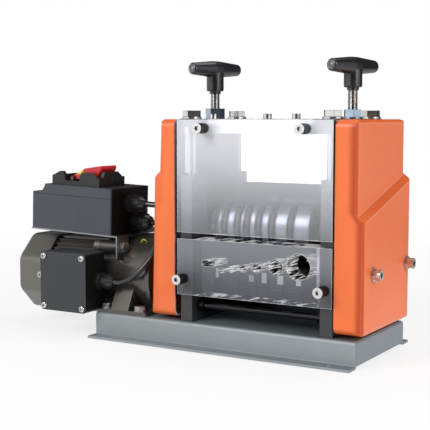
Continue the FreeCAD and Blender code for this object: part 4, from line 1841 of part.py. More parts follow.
def make_mains_coil():
    """One unbroken tube: a straight end, quarter turns as pairs of arcs, and a straight end."""
    quarters = round(coil_turns() * 4)
    edges = []
    first, last = coil_place(0), coil_place(coil_turns())
    lead = 2 * MAINS_CORD_RADIUS
    start = first - coil_direction(0) * lead
    edges.append(Part.makeLine(start, first))
    for quarter in range(quarters):
        a, b = coil_turns() * quarter / quarters, coil_turns() * (quarter + 1) / quarters
        edges += biarc(coil_place(a), coil_direction(a), coil_place(b), coil_direction(b))
    end = last + coil_direction(coil_turns()) * lead
    edges.append(Part.makeLine(last, end))
    print("mains_cord_coil least gap to itself", round(least_coil_gap(), 2), "mm")
    return swept_cord("mains_cord_coil", edges, MAINS_CORD_RADIUS, start, first - start), start, end


def least_coil_gap():
    """Least distance between the coil's surfaces, on points a little apart along it."""
    count = round(coil_turns() * 72)
    points = [coil_place(coil_turns() * index / count) for index in range(count + 1)]
    least = MAINS_COIL_RADIUS
    for index, point in enumerate(points):
        for other in points[index + 36:]:
            least = min(least, (other - point).Length)
    return least - 2 * MAINS_CORD_RADIUS


def make_mains_cord(coil_start, coil_end):
    """The stretch from the gland to the coil, and the short tail from the coil to the plug."""
    start = gland_mouth(UPPER_GLAND_PLACE, SWITCH_GLAND_LENGTH)
    lead = start + tilted_direction() * CABLE_LEAD
    into = coil_start - coil_direction(0) * MAINS_COIL_LEAD
    points = [start, lead]
    points += [V(GEARBOX_LEFT_X + x, y, z) for x, y, z in MAINS_CORD_UPPER_POINTS]
    points += [V(GEARBOX_LEFT_X + x, BASE_BACK_Y + y, z) for x, y, z in MAINS_CORD_LOWER_POINTS]
    points += [into, coil_start]
    stretch = cord_along("mains_cord", points, MAINS_CORD_RADIUS)
    out = coil_direction(coil_turns())
    tail = Part.makeCylinder(MAINS_CORD_RADIUS, PLUG_LEAD, coil_end, out)
    return stretch, tail, coil_end + out * PLUG_LEAD


def make_mains_plug(entry):
    """A moulded plug lying on the floor behind its tapered relief, with two blades and a round pin."""
    z = entry.z
    relief_end = entry.x + PLUG_RELIEF_LENGTH
    thin, thick = MAINS_CORD_RADIUS + PLUG_RELIEF_WALLS[0], MAINS_CORD_RADIUS + PLUG_RELIEF_WALLS[1]
    relief = turned("X", entry.y, z, [(entry.x, 0), (entry.x, thin), (relief_end, thick), (relief_end, 0)])
    half = MAINS_PLUG_WIDTH / 2
    body_start = relief_end - 3
    body_end = body_start + MAINS_PLUG_LENGTH
    plan = [(body_start, entry.y - 8, 3), (body_end - 14, entry.y - half, 6), (body_end, entry.y - half, 2),
            (body_end, entry.y + half, 2), (body_end - 14, entry.y + half, 6), (body_start, entry.y + 8, 3)]
    heights = (PLUG_FLOOR_GAP, 2 * z - PLUG_FLOOR_GAP)
    body = prism("Z", plan, heights[0], heights[1])
    form = rounded((entry.y - half, entry.y + half), heights, 5)
    side = prism("X", form, body_start - OVERRUN, body_end + OVERRUN)
    parts = [relief, body.common(side)]
    tip = body_end + PLUG_PIN_LENGTH
    for sign in SIDES:
        parts.append(block((body_end - 1, tip), (entry.y + sign * 6.35 - 0.75, entry.y + sign * 6.35 + 0.75),
                           (z - 4.2, z + 2.2)))
    parts.append(rod("X", 2.4, entry.y, z + 6.6, body_end - 1, tip + 2))
    return joined(parts)


def make_all():
    os.makedirs("parts", exist_ok=True)
    save("base_channel", make_base())
    save("base_bolts", *make_base_bolts())
    save("left_side_frame", make_side_frame(0))
    save("right_side_frame", make_side_frame(1))
    save("top_plate", make_top_plate())
    save("top_plate_bolts", *make_top_plate_bolts())
    save("adjuster_nuts", *make_adjuster_nuts())
    save("left_cover", make_cover(0))
    save("right_cover", make_cover(1))
    save("cover_bolts", *make_cover_bolts())
    save("cover_standoffs", *make_cover_standoffs())
    save("upper_guard", make_upper_guard())
    save("guide_block", make_guide_block())
    save("knurled_screws", *make_knurled_screws())
    save("tie_rod", make_tie_rod())
    save("tie_rod_nuts", *make_tie_rod_nuts())
    save("rear_plate", make_rear_plate())
    save("cap_screws", *make_cap_screws())
    save("lower_bearing_blocks", *make_lower_bearing_blocks())
    save("lower_bearings", *make_arbor_bearings(FEED_AXIS_Z))
    save("lift_springs", *make_lift_springs())
    save("upper_bearing_blocks", *make_upper_bearing_blocks())
    save("upper_bearings", *make_arbor_bearings(BLADE_AXIS_Z))
    for index, name in enumerate(("left", "right")):
        save(name + "_adjusting_screw", make_adjusting_screw(index))
        save(name + "_t_handle", make_t_handle(index))
    save("blade_shaft", make_arbor(BLADE_AXIS_Z, FRAME_OUTER_X[0]))
    save("stripping_blades", *make_blades())
    save("blade_spacers", *make_blade_spacers())
    up = math.pi / 2
    feed_teeth, blade_teeth = ARBOR_GEAR_TEETH
    save("upper_gear", make_arbor_gear(BLADE_AXIS_Z, blade_teeth, -up + math.pi / blade_teeth))
    save("feed_shaft", make_arbor(FEED_AXIS_Z, coupling_x()[2]))
    save("feed_roller", make_feed_roller())
    save("lower_gear", make_arbor_gear(FEED_AXIS_Z, feed_teeth, up))
    save("shaft_coupling", *make_shaft_coupling())
    save("output_shaft", make_output_shaft())
    save("motor_housing", make_motor_housing())
    save("motor_end_cap", make_motor_end_cap())
    save("motor_stator", make_motor_stator())
    save("motor_rotor", make_motor_rotor())
    save("motor_fan", make_motor_fan())
    save("gearbox_housing", make_gearbox_housing())
    save("gearbox_tie_bolts", *make_gearbox_tie_bolts())
    save("drive_bearings", *make_drive_bearings())
    save("countershaft", make_countershaft())
    save("terminal_box", make_terminal_box())
    save("terminal_box_lid", make_terminal_box_lid())
    save("small_screws", *make_terminal_box_screws(), *make_end_cap_screws())
    save("cable_glands", *make_cable_glands())
    save("motor_cable", make_motor_cable())
    save("switch_bracket", make_switch_bracket())
    save("switch_box", make_switch_box())
    save("switch_box_lid", make_switch_box_lid())
    save("switch_module", make_switch_module())
    save("stop_flap", make_stop_flap())
    save("start_button", make_button(0))
    save("stop_button", make_button(1))
    coil, coil_start, coil_end = make_mains_coil()
    stretch, tail, entry = make_mains_cord(coil_start, coil_end)
    save("mains_cord", stretch, tail)
    save("mains_cord_coil", coil)
    save("mains_plug", make_mains_plug(entry))


make_all()
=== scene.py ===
# %% [markdown]
# # A bench machine that strips cable
#
# This lesson dresses the CAD model of an electric cable stripper: a grey base, a motor with its gearbox,
# and a head with blades and a feed roller behind clear acrylic, between two orange covers.
# The CAD solids already have the right shapes, so most of the work here is finish: paint, plating,
# ground steel, acrylic and moulded plastic, each with the small unevenness of the real thing.
# A few things are modelled here: the mains lead, screw threads, inserts, marks and seals.

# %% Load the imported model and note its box
import math
import bmesh
import bpy
import numpy as np
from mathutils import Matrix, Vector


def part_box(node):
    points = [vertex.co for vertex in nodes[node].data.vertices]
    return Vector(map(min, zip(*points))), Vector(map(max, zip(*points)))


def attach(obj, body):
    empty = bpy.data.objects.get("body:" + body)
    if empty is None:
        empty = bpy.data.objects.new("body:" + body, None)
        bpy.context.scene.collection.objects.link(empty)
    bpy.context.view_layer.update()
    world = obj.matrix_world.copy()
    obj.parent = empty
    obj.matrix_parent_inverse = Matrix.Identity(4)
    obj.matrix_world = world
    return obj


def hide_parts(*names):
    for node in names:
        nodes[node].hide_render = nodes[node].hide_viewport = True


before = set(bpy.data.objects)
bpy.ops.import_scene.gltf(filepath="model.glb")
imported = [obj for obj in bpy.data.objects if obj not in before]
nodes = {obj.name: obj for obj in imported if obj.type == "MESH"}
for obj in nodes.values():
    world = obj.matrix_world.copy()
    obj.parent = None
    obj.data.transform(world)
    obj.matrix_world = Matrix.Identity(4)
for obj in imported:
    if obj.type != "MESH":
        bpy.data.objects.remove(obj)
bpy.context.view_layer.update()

# %% [markdown]
# ## The camera
#
# The photograph was taken with a long lens from the front right, a little above the machine. A long lens
# flattens perspective, which is why the far end of the base looks nearly as large as the near end.
# The lens and place were worked out from the edges of the base, the covers and the top plate, whose
# real sizes are known, so that the same corners fall on the same places of the square picture.

# %% Camera
YAW = math.radians(30.74)
PITCH = math.radians(5.35)
LENS_MM = 86.46
CAMERA_PLACE = (0.6265, -1.1313, 0.2806)
camera_data = bpy.data.cameras.new("camera")
camera_data.sensor_fit = "HORIZONTAL"
camera_data.sensor_width = 36.0
camera_data.lens = LENS_MM
camera_data.clip_end = 20.0
camera = bpy.data.objects.new("camera", camera_data)
camera.location = CAMERA_PLACE
camera.rotation_euler = (math.pi / 2 - PITCH, 0, YAW)
bpy.context.scene.collection.objects.link(camera)
bpy.context.scene.camera = camera
print("lens", camera_data.lens)

# %% [markdown]
# ## The mains lead
#
# A flexible lead can't turn a sharp corner, so it is one smooth curve. Its control points say where it is
# led: straight out of the gland, round behind the left cover, down to the floor, and into a put-away coil
# behind the machine. A NURBS curve of order 3 rounds every corner of such a route by itself. The coil is a
# spiral: it winds in on the floor, climbs one diameter in half a turn, and winds out again on top.

# %% Route of the lead, in metres
LEAD_RADIUS = 0.00375
COIL_CENTRE = (0.020, 0.160)
COIL_RADIUS = 0.054
COIL_STEP = 0.00815
COIL_DIP = 0.0018
TURNS_IN = 2.5
TURNS_OUT = 2.0
POINTS_PER_TURN = 24
TILT = math.radians(2)
BOX_PIVOT = (-0.1575, 0.129)
GLAND_MOUTH_X = -0.1398


def tilted(x, y, z):
    """A point of the switch box, turned 2 degrees about the bracket's bend, right end down."""
    dx, dz = x - BOX_PIVOT[0], z - BOX_PIVOT[1]
    return (BOX_PIVOT[0] + dx * math.cos(TILT) + dz * math.sin(TILT), y,
            BOX_PIVOT[1] - dx * math.sin(TILT) + dz * math.cos(TILT))


lead_exit = tilted(GLAND_MOUTH_X, -0.022, 0.1698)
run_to_floor = [
    (-0.1294, -0.0220, 0.1688), (-0.1170, -0.0200, 0.1680), (-0.1065, -0.0115, 0.1665),
    (-0.1015, 0.0020, 0.1640), (-0.1010, 0.0180, 0.1595), (-0.1030, 0.0380, 0.1510),
    (-0.1070, 0.0600, 0.1365), (-0.1120, 0.0820, 0.1130), (-0.1170, 0.0990, 0.0830),
    (-0.1185, 0.1090, 0.0530), (-0.1135, 0.1130, 0.0300), (-0.1010, 0.1150, 0.0135),
    (-0.0800, 0.1140, 0.0046), (-0.0560, 0.1105, 0.00375), (-0.0320, 0.1070, 0.00375),
    (-0.0075, 0.1055, 0.00375),
]

# %% Coil points: radius falls, stays, and grows with the turn; height takes a smooth step
CLIMB_TURNS = 0.5
all_turns = TURNS_IN + CLIMB_TURNS + TURNS_OUT
turns = np.linspace(0, all_turns, round(all_turns * POINTS_PER_TURN) + 1)
climb = np.clip((turns - TURNS_IN) / CLIMB_TURNS, 0, 1)
turns_wound_in = np.minimum(turns, TURNS_IN)
turns_wound_out = np.maximum(turns - TURNS_IN - CLIMB_TURNS, 0)
coil_radius = COIL_RADIUS - COIL_STEP * (turns_wound_in - turns_wound_out)
coil_radius -= COIL_DIP * np.sin(np.pi * climb) ** 2
coil_height = LEAD_RADIUS + COIL_STEP * climb ** 2 * (3 - 2 * climb)
coil_angle = 2 * np.pi * (turns - 0.25)
coil = np.column_stack([COIL_CENTRE[0] + coil_radius * np.cos(coil_angle),
                        COIL_CENTRE[1] + coil_radius * np.sin(coil_angle), coil_height])

# %% The whole route, which ends a little inside the plug
DEPTH_IN_PLUG = 0.004
STRAIGHT_END = 0.02
plug_low, plug_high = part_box("mains_plug")
plug_axis = (plug_low[1] + plug_high[1]) / 2
lead_end = (plug_low[0] + DEPTH_IN_PLUG, plug_axis, LEAD_RADIUS + COIL_STEP)
before_end = (lead_end[0] - STRAIGHT_END, lead_end[1], lead_end[2])
route = [lead_exit] + run_to_floor + coil.tolist() + [before_end, lead_end]
print("points of the lead", len(route))


# %% The lead as a smooth curve
def smooth_cord(name, points, radius):
    """A round cord along a NURBS curve of order 3; its radius stands on the points, and the bevel is 1."""
    data = bpy.data.curves.new(name, "CURVE")
    data.dimensions = "3D"
    data.bevel_depth = 1.0
    data.bevel_resolution = 4
    data.resolution_u = 4
    data.use_fill_caps = True
    spline = data.splines.new("NURBS")
    spline.points.add(len(points) - 1)
    spline.points.foreach_set("co", np.column_stack([np.array(points), np.ones(len(points))]).ravel())
    spline.points.foreach_set("radius", np.full(len(points), radius))
    spline.order_u = 3
    spline.use_endpoint_u = True
    cord = bpy.data.objects.new(name, data)
    bpy.context.scene.collection.objects.link(cord)
    return cord


mains_lead = smooth_cord("mains_lead", route, LEAD_RADIUS)
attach(mains_lead, "frame")
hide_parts("mains_cord", "mains_cord_coil")

# %% [markdown]
# ## Surfaces from formulas
#
# Every new mesh below is a grid of points: one parameter goes along a profile or path, the other goes
# round it. Numpy works the whole grid out at once, and the faces join neighbouring points. The same two
# small helpers serve for all of them, so a new shape is only a new formula.


# %% Grid mesh and revolved profile
def grid_piece(name, points, body, around=True, caps=False):
    """A mesh through points[i, j]: quads between neighbours, closed round j when around is set."""
    rows, columns = points.shape[:2]
    last = columns if around else columns - 1
    i, j = np.meshgrid(np.arange(rows - 1), np.arange(last), indexing="ij")
    after = (j + 1) % columns
    near, far = i * columns, (i + 1) * columns
    quads = np.stack([near + j, far + j, far + after, near + after], -1)
    faces = quads.reshape(-1, 4).tolist()
    if caps:
        faces.append(list(range(columns)))
        faces.append(list(range(rows * columns - 1, (rows - 1) * columns - 1, -1)))
    mesh = bpy.data.meshes.new(name)
    mesh.from_pydata(points.reshape(-1, 3).tolist(), [], faces)
    mesh.validate()
    mesh.polygons.foreach_set("use_smooth", np.ones(len(mesh.polygons), bool))
    piece = bpy.data.objects.new(name, mesh)
    bpy.context.scene.collection.objects.link(piece)
    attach(piece, body)
    print(name, len(mesh.polygons), "faces")
    return piece


def frame_about(axis):
    """Two unit vectors square to an axis and to each other, so that they and the axis are right-handed."""
    axis = np.array(axis, float) / np.linalg.norm(axis)
    helper = np.array([0, 0, 1.0]) if abs(axis[2]) < 0.9 else np.array([1.0, 0, 0])
    first = np.cross(helper, axis)
    first /= np.linalg.norm(first)
    return first, np.cross(axis, first), axis


def revolved(origin, axis, levels, radii, steps):
    """Points at a level along the axis and a radius from it, for every angle of a full turn."""
    first, second, along = frame_about(axis)
    angle = 2 * np.pi * np.arange(steps) / steps
    ring = np.cos(angle)[:, None] * first + np.sin(angle)[:, None] * second
    levels, radii = np.array(levels, float), np.array(radii, float)
    return np.array(origin) + levels[:, None, None] * along + radii[:, None, None] * ring[None]


# %% [markdown]
# ## The adjusting screws' threads
#
# Between nut and handle a hand's breadth of thread shows. A thread is a ridge that climbs by one pitch
# in each turn, so the radius depends on height minus angle: at every point the distance to the nearest
# ridge, up or down the screw, sets how deep the surface lies.

# %% Threads
SCREW_RADIUS = 0.0060
THREAD_PITCH = 0.00175
THREAD_DEPTH = 0.0009


def thread_points(x, low, high, steps=28, rows_per_pitch=6):
    """Radius is the screw's, less a depth that rises and falls in a straight zigzag over one pitch."""
    rows = round((high - low) / THREAD_PITCH * rows_per_pitch)
    height = np.linspace(low, high, rows)[:, None]
    angle = 2 * np.pi * np.arange(steps)[None] / steps
    phase = (height / THREAD_PITCH - angle / (2 * np.pi)) % 1
    radius = SCREW_RADIUS - THREAD_DEPTH * np.abs(2 * phase - 1)
    radius[[0, -1]] = SCREW_RADIUS - THREAD_DEPTH
    return np.stack([x + radius * np.cos(angle), radius * np.sin(angle), height + 0 * angle], -1)


screw_x = {}
for side in ("left", "right"):
    low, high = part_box(side + "_adjusting_screw")
    screw_x[side] = (low[0] + high[0]) / 2
    screw = grid_piece(side + "_screw_thread", thread_points(screw_x[side], low[2], high[2]),
                       side + "_adjuster", caps=True)
    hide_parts(side + "_adjusting_screw")

# %% [markdown]
# ## Inserts in the handles' ends
#
# Each T-handle is moulded round a steel bar, and the bar's ends show as light grey discs, a little
# proud, with a fine ring cut into them. The profile of such a disc is a few radii, turned about the
# handle's own axis, which stands 16 degrees off the front-to-back line.

# %% Handle inserts
HANDLE_TURN = math.radians(-16)
HANDLE_HALF = 0.040
HANDLE_HEIGHT = 0.342
handle_axis = np.array([-math.sin(HANDLE_TURN), math.cos(HANDLE_TURN), 0])
insert_levels = [-0.0012, 0.0001, 0.0004, 0.0004, 0.0001, 0.0001, 0.0004, 0.0004]
insert_radii = [0.0053, 0.0053, 0.0050, 0.0042, 0.0040, 0.0035, 0.0033, 0.0]
for side in ("left", "right"):
    for end, sign in (("front", -1), ("back", 1)):
        centre = np.array([screw_x[side], 0, HANDLE_HEIGHT]) + handle_axis * sign * HANDLE_HALF
        grid_piece(side + "_handle_" + end + "_insert",
                   revolved(centre, handle_axis * sign, insert_levels, insert_radii, 32),
                   side + "_adjuster")

# %% [markdown]
# ## Seals in the cable glands
#
# Where a cable enters a gland, the nut squeezes a rubber ring round it. A ring is a torus: a small
# circle carried round a large one. Here the small circle is drawn as a profile and turned.

# %% Gland seals: levels and radii run round the small circle, a little flattened along the cable
MOTOR_CABLE_RADIUS = 0.0035
MOTOR_SIDE_MOUTH = (-0.1576, -0.0685, 0.0710)
SEAL_HALF_LENGTH = 0.0007
SEAL_HALF_WIDTH = 0.0008
SEAL_GAP = 0.0001
seal_turn = np.linspace(0, 2 * np.pi, 11)
tilted_axis = np.array(tilted(1, 0, 0)) - np.array(tilted(0, 0, 0))
for name, centre, axis, cable in (
        ("motor_side_seal", MOTOR_SIDE_MOUTH, (1, 0, 0), MOTOR_CABLE_RADIUS),
        ("upper_seal", lead_exit, tilted_axis, LEAD_RADIUS),
        ("lower_seal", tilted(GLAND_MOUTH_X, -0.0085, 0.1440), tilted_axis, MOTOR_CABLE_RADIUS)):
    radii = cable + SEAL_HALF_WIDTH + SEAL_GAP - SEAL_HALF_WIDTH * np.cos(seal_turn)
    grid_piece(name, revolved(centre, axis, SEAL_HALF_LENGTH * np.sin(seal_turn), radii, 28),
               "frame")

# %% [markdown]
# ## The earth wire
#
# A short green and yellow wire stands in a small arc between the gearbox and the switch box. It is a thin
# tube along a Catmull-Rom path, a curve that goes through all of its points, and each ring of the tube
# stands square to the path.


# %% Tube along a path
def path_through(points, steps):
    """A Catmull-Rom curve: each span mixes its two ends and their neighbours by cubic weights."""
    points = np.array(points, float)
    padded = np.vstack([2 * points[0] - points[1], points, 2 * points[-1] - points[-2]])
    share = np.linspace(0, 1, steps, endpoint=False)[:, None]
    spans = [0.5 * (2 * b + (c - a) * share + (2 * a - 5 * b + 4 * c - d) * share ** 2
                    + (3 * b - a - 3 * c + d) * share ** 3)
             for a, b, c, d in zip(padded, padded[1:], padded[2:], padded[3:])]
    return np.vstack(spans + [points[-1:]])


def tube_points(path, radius, steps):
    """Rings square to the path: the side vector is the path's direction crossed with a fixed one."""
    along = np.gradient(path, axis=0)
    along /= np.linalg.norm(along, axis=1)[:, None]
    side = np.cross(along, [0.31, 0.2, 0.93])
    side /= np.linalg.norm(side, axis=1)[:, None]
    up = np.cross(along, side)
    angle = 2 * np.pi * np.arange(steps) / steps
    ring = np.cos(angle)[None, :, None] * side[:, None] + np.sin(angle)[None, :, None] * up[:, None]
    return path[:, None] + radius * ring


EARTH_WIRE_RADIUS = 0.0010
earth_route = [
    (-0.1405, -0.0300, 0.1185), (-0.1385, -0.0310, 0.1215), (-0.1365, -0.0315, 0.1235),
    (-0.1335, -0.0315, 0.1232), (-0.1312, -0.0300, 0.1205), (-0.1300, -0.0290, 0.1180),
]
grid_piece("earth_wire", tube_points(path_through(earth_route, 8), EARTH_WIRE_RADIUS, 10),
           "frame", caps=True)

# %% [markdown]
# ## The acrylic pieces
#
# In the solid model the guard and the guide block lie face to face on the top plate and on the posts, and
# two surfaces in one place can't both be drawn. So each acrylic piece is a copy of its solid with the
# touching face set forwards by a fifth of a millimetre.

# %% Copies that stand clear of the metal
CONTACT_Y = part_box("left_side_frame")[0][1]
CLEARANCE = 0.0002
SAME_POINT = 1e-6
ON_CONTACT = 1e-5
for name in ("upper_guard", "guide_block"):
    merged = bmesh.new()
    merged.from_mesh(nodes[name].data)
    bmesh.ops.remove_doubles(merged, verts=merged.verts, dist=SAME_POINT)
    merged.verts.index_update()
    places = np.array([vertex.co[:] for vertex in merged.verts])
    faces = [[vertex.index for vertex in face.verts] for face in merged.faces]
    merged.free()
    touching = np.abs(places[:, 1] - CONTACT_Y) < ON_CONTACT
    places[touching, 1] -= CLEARANCE
    mesh = bpy.data.meshes.new(name + "_sheet")
    mesh.from_pydata(places.tolist(), [], faces)
    mesh.polygons.foreach_set("use_smooth", np.ones(len(mesh.polygons), bool))
    mesh.set_sharp_from_angle(angle=math.radians(30))
    piece = bpy.data.objects.new(name + "_sheet", mesh)
    bpy.context.scene.collection.objects.link(piece)
    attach(piece, "frame")
    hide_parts(name)
    print(piece.name, int(touching.sum()), "points moved")

# %% [markdown]
# ## Marks on the two keys
#
# Start and stop keys carry the bar and the ring that such keys have everywhere. They are raised a
# little, so they are surfaces too: a ring is a torus pressed flat, and a bar is the same profile
# carried along a short straight path.

# %% Key marks
KEY_TOP = 0.2009
KEYS_Y = -0.030
STOP_KEY_X = -0.2095
START_KEY_X = -0.2265
MARK_HALF = 0.0006
MARK_RAISED = 0.0003
RING_RADIUS = 0.0036
BAR_HALF_LENGTH = 0.004
key_up = np.array(tilted(0, 0, 1)) - np.array(tilted(0, 0, 0))
mark_turn = np.linspace(0, 2 * np.pi, 9)
ring = revolved(tilted(STOP_KEY_X, KEYS_Y, KEY_TOP), key_up, MARK_RAISED * np.sin(mark_turn),
                RING_RADIUS + MARK_HALF * np.cos(mark_turn), 32)
grid_piece("stop_mark", ring, "red_key")
bar_y = np.linspace(KEYS_Y - BAR_HALF_LENGTH, KEYS_Y + BAR_HALF_LENGTH, 9)
bar_path = np.array([tilted(START_KEY_X, y, KEY_TOP) for y in bar_y])
grid_piece("start_mark", tube_points(bar_path, MARK_HALF, 10), "green_key", caps=True)

# %% [markdown]
# ## Building finishes from nodes
#
# A finish is a small tree of shader nodes. Writing every tree by hand would be long, so one short helper
# adds a node, fills its sockets and links whatever is handed to it. The patterns all read Object
# coordinates, which are metres on these pieces, so a scale of 1000 makes grains about a millimetre wide.


# %% Node helpers
def new_finish(name):
    """A material with its shader and one texture coordinate node, as (material, tree, shader, position)."""
    material = bpy.data.materials.new(name)
    material.use_nodes = True
    tree = material.node_tree
    shader = tree.nodes["Principled BSDF"]
    position = tree.nodes.new("ShaderNodeTexCoord").outputs["Object"]
    return material, tree, shader, position


def add(tree, kind, sockets=None, **settings):
    """Add a node; sockets maps an input's name or number to a value or to another node's output."""
    made = tree.nodes.new("ShaderNode" + kind)
    for key, value in settings.items():
        setattr(made, key, value)
    for key, value in (sockets or {}).items():
        if isinstance(value, bpy.types.NodeSocket):
            tree.links.new(value, made.inputs[key])
        else:
            made.inputs[key].default_value = value
    return made


def math_node(tree, operation, *values, clamp=False):
    """A sum, product or comparison of up to three numbers."""
    numbers = dict(enumerate(values))
    return add(tree, "Math", numbers, operation=operation, use_clamp=clamp).outputs["Value"]


def component(tree, vector, axis):
    """The X, Y or Z of a vector."""
    return add(tree, "SeparateXYZ", {0: vector}).outputs[axis]


def true_normal(tree, axis):
    """One component of the direction in which the face itself looks."""
    return component(tree, add(tree, "NewGeometry").outputs["True Normal"], axis)


def object_place(tree, axis):
    """One coordinate of the shaded point, in metres."""
    return component(tree, tree.nodes["Texture Coordinate"].outputs["Object"], axis)


def ramp(tree, factor, low, high):
    """Stretch a factor so that low becomes 0 and high becomes 1."""
    return add(tree, "MapRange", {"Value": factor, "From Min": low, "From Max": high}).outputs["Result"]


def between(tree, factor, low, high):
    """A number that is low where the factor is 0 and high where it is 1."""
    return add(tree, "MapRange", {"Value": factor, "To Min": low, "To Max": high}).outputs["Result"]


# %% Colour helpers
def mixed_colour(tree, factor, first, second):
    """Mix two colours; the colour sockets of a Mix node are its seventh and eighth."""
    return add(tree, "Mix", {0: factor, 6: first, 7: second}, data_type="RGBA").outputs[2]


def tint_over(material, factor, colour):
    """Lay a colour over a finish's own where the factor is 1."""
    tree = material.node_tree
    socket = tree.nodes["Principled BSDF"].inputs["Base Color"]
    tree.links.new(mixed_colour(tree, factor, socket.links[0].from_socket, colour), socket)


def shade(colour, factor):
    """The same colour, lighter or darker."""
    return tuple(min(1.0, value * factor) for value in colour[:3]) + (1.0,)


# %% Pattern helpers
def noise(tree, position, scale, detail=3.0, roughness=0.5, stretch=None):
    """Cloudy noise from 0 to 1, drawn out along an axis where stretch says so."""
    if stretch:
        position = add(tree, "Mapping", {"Vector": position, "Scale": stretch}).outputs["Vector"]
    return add(tree, "TexNoise", {"Vector": position, "Scale": scale, "Detail": detail,
                                  "Roughness": roughness}).outputs["Fac"]


def rounded_normal(tree, radius):
    """The normal of the surface with its sharp edges rounded over."""
    return add(tree, "Bevel", {"Radius": radius}, samples=4).outputs["Normal"]


def edge_mask(tree, radius, gain):
    """Near 1 along sharp edges: there the normal of a rounded-over surface leans away from the true one."""
    true = add(tree, "NewGeometry").outputs["True Normal"]
    lean = add(tree, "VectorMath", {0: rounded_normal(tree, radius), 1: true}, operation="DOT_PRODUCT")
    off = math_node(tree, "SUBTRACT", 1.0, lean.outputs["Value"])
    return math_node(tree, "MULTIPLY", off, gain, clamp=True)


def bump(tree, height, distance, strength, normal=None):
    """A normal that leans as if the surface had this height, over another normal where one is given."""
    sockets = {"Height": height, "Distance": distance, "Strength": strength}
    if normal is not None:
        sockets["Normal"] = normal
    return add(tree, "Bump", sockets).outputs["Normal"]


# %% [markdown]
# ## Paint
#
# Powder paint is never quite flat: it has a fine orange peel, a slow change of tone over a panel, and it
# lies thinner on edges, where it catches light and wears. One function makes every painted finish here,
# and the parameters say how much of each a paint has. The clear top layer is a coat of its own, sharper
# than the body of the paint.


# %% Painted finish
def paint(name, colour, roughness, coat=0.3, peel=0.5, edge=0.25, metallic=0.0, edge_radius=0.0009,
          speck_tone=1.12):
    """Powder paint with lighter edges, as wear and painted highlight.

    edge is how far those edges show, and speck_tone how light the peel's grains are.
    """
    material, tree, shader, position = new_finish(name)
    cloud = noise(tree, position, 9.0, 2.0)
    speck = noise(tree, position, 420.0, 2.0)
    base = mixed_colour(tree, ramp(tree, cloud, 0.3, 0.7), shade(colour, 0.93), shade(colour, 1.06))
    base = mixed_colour(tree, ramp(tree, speck, 0.62, 0.75), base, shade(colour, speck_tone))
    # Wear and painted highlight: edges are lighter in patches.
    edge_wear_and_highlight = math_node(tree, "MULTIPLY", edge_mask(tree, edge_radius, 2.2), noise(tree, position, 60.0, 4.0))
    edge_wear_and_highlight = math_node(tree, "MULTIPLY", edge_wear_and_highlight, edge * 2, clamp=True)
    tree.links.new(mixed_colour(tree, edge_wear_and_highlight, base, shade(colour, 1.5)), shader.inputs["Base Color"])
    rough = between(tree, noise(tree, position, 35.0, 4.0), roughness - 0.06, roughness + 0.08)
    tree.links.new(rough, shader.inputs["Roughness"])
    shader.inputs["Metallic"].default_value = metallic
    shader.inputs["Coat Weight"].default_value = coat
    shader.inputs["Coat Roughness"].default_value = 0.12
    normal = bump(tree, noise(tree, position, 650.0, 2.0), 0.00006, peel, rounded_normal(tree, edge_radius))
    tree.links.new(normal, shader.inputs["Normal"])
    return material


base_grey = paint("grey_base_paint", (0.285, 0.314, 0.327, 1), 0.38, coat=0.2, edge=0.8)
post_charcoal = paint("charcoal_paint", (0.030, 0.031, 0.037, 1), 0.4, coat=0.15)
motor_brown = paint("motor_paint", (0.150, 0.140, 0.125, 1), 0.32, coat=0.35, metallic=0.5, edge=0.4)
gearbox_brown = paint("gearbox_paint", (0.088, 0.082, 0.072, 1), 0.24, coat=0.6, metallic=0.6, edge=0.3)
box_black = paint("terminal_box_paint", (0.028, 0.030, 0.034, 1), 0.42, coat=0.1, edge=0.3)
print("paints", base_grey.name, post_charcoal.name, motor_brown.name, gearbox_brown.name, box_black.name)

# %% Base: painted shade on its level faces, most on the right, and bluer painted shade on its right face
tree = base_grey.node_tree
top_shade = between(tree, ramp(tree, object_place(tree, "X"), -0.15, 0.15), 0.35, 1.0)
top_shade = math_node(tree, "MULTIPLY", ramp(tree, true_normal(tree, "Z"), 0.7, 0.95), top_shade)
tint_over(base_grey, top_shade, (0.135, 0.155, 0.163, 1))
tint_over(base_grey, ramp(tree, true_normal(tree, "X"), 0.7, 0.95), (0.175, 0.21, 0.25, 1))
print("tinted", base_grey.name)

# %% Posts: painted light and shade, lighter towards the top and darker towards the foot
tree = post_charcoal.node_tree
tint_over(post_charcoal, ramp(tree, object_place(tree, "Z"), 0.135, 0.175), (0.165, 0.168, 0.185, 1))
print("tinted", post_charcoal.name)

# %% [markdown]
# ## Orange covers with a bare inside
#
# The covers are painted outside, while through the acrylic their insides look pale grey. Which side a
# face is on can be read from its normal: on the left cover the inner faces look towards +X. So the
# covers get the same paint, mixed with a pale primer by the normal's X, one way for each cover. The bends
# get a deeper orange, which is painted shade. There no component of the normal is near 1, so the largest
# of the three says how far a point lies into a bend; a tilted face counts for less than an upright bend.
# The painted shade reaches a few millimetres into the front face too. The side faces get a painted pale
# reflection, stronger higher up, and a painted highlight along their sharp edges.


# %% Painted shade masks of the covers; sizes holds the normal's components without their signs
STEP_Z = 0.170
STEP_HALF_HEIGHT = 0.007
STEP_DEPTH = 0.0085


def bend_shade_mask(tree, sizes):
    """1 where even the largest component is small; about a third of that where the face is tilted."""
    largest = math_node(tree, "MAXIMUM", math_node(tree, "MAXIMUM", sizes["X"], sizes["Y"]), sizes["Z"])
    upright = between(tree, math_node(tree, "COMPARE", true_normal(tree, "Z"), 0.0, 0.3), 0.3, 1.0)
    return math_node(tree, "MULTIPLY", ramp(tree, largest, 0.985, 0.80), upright)


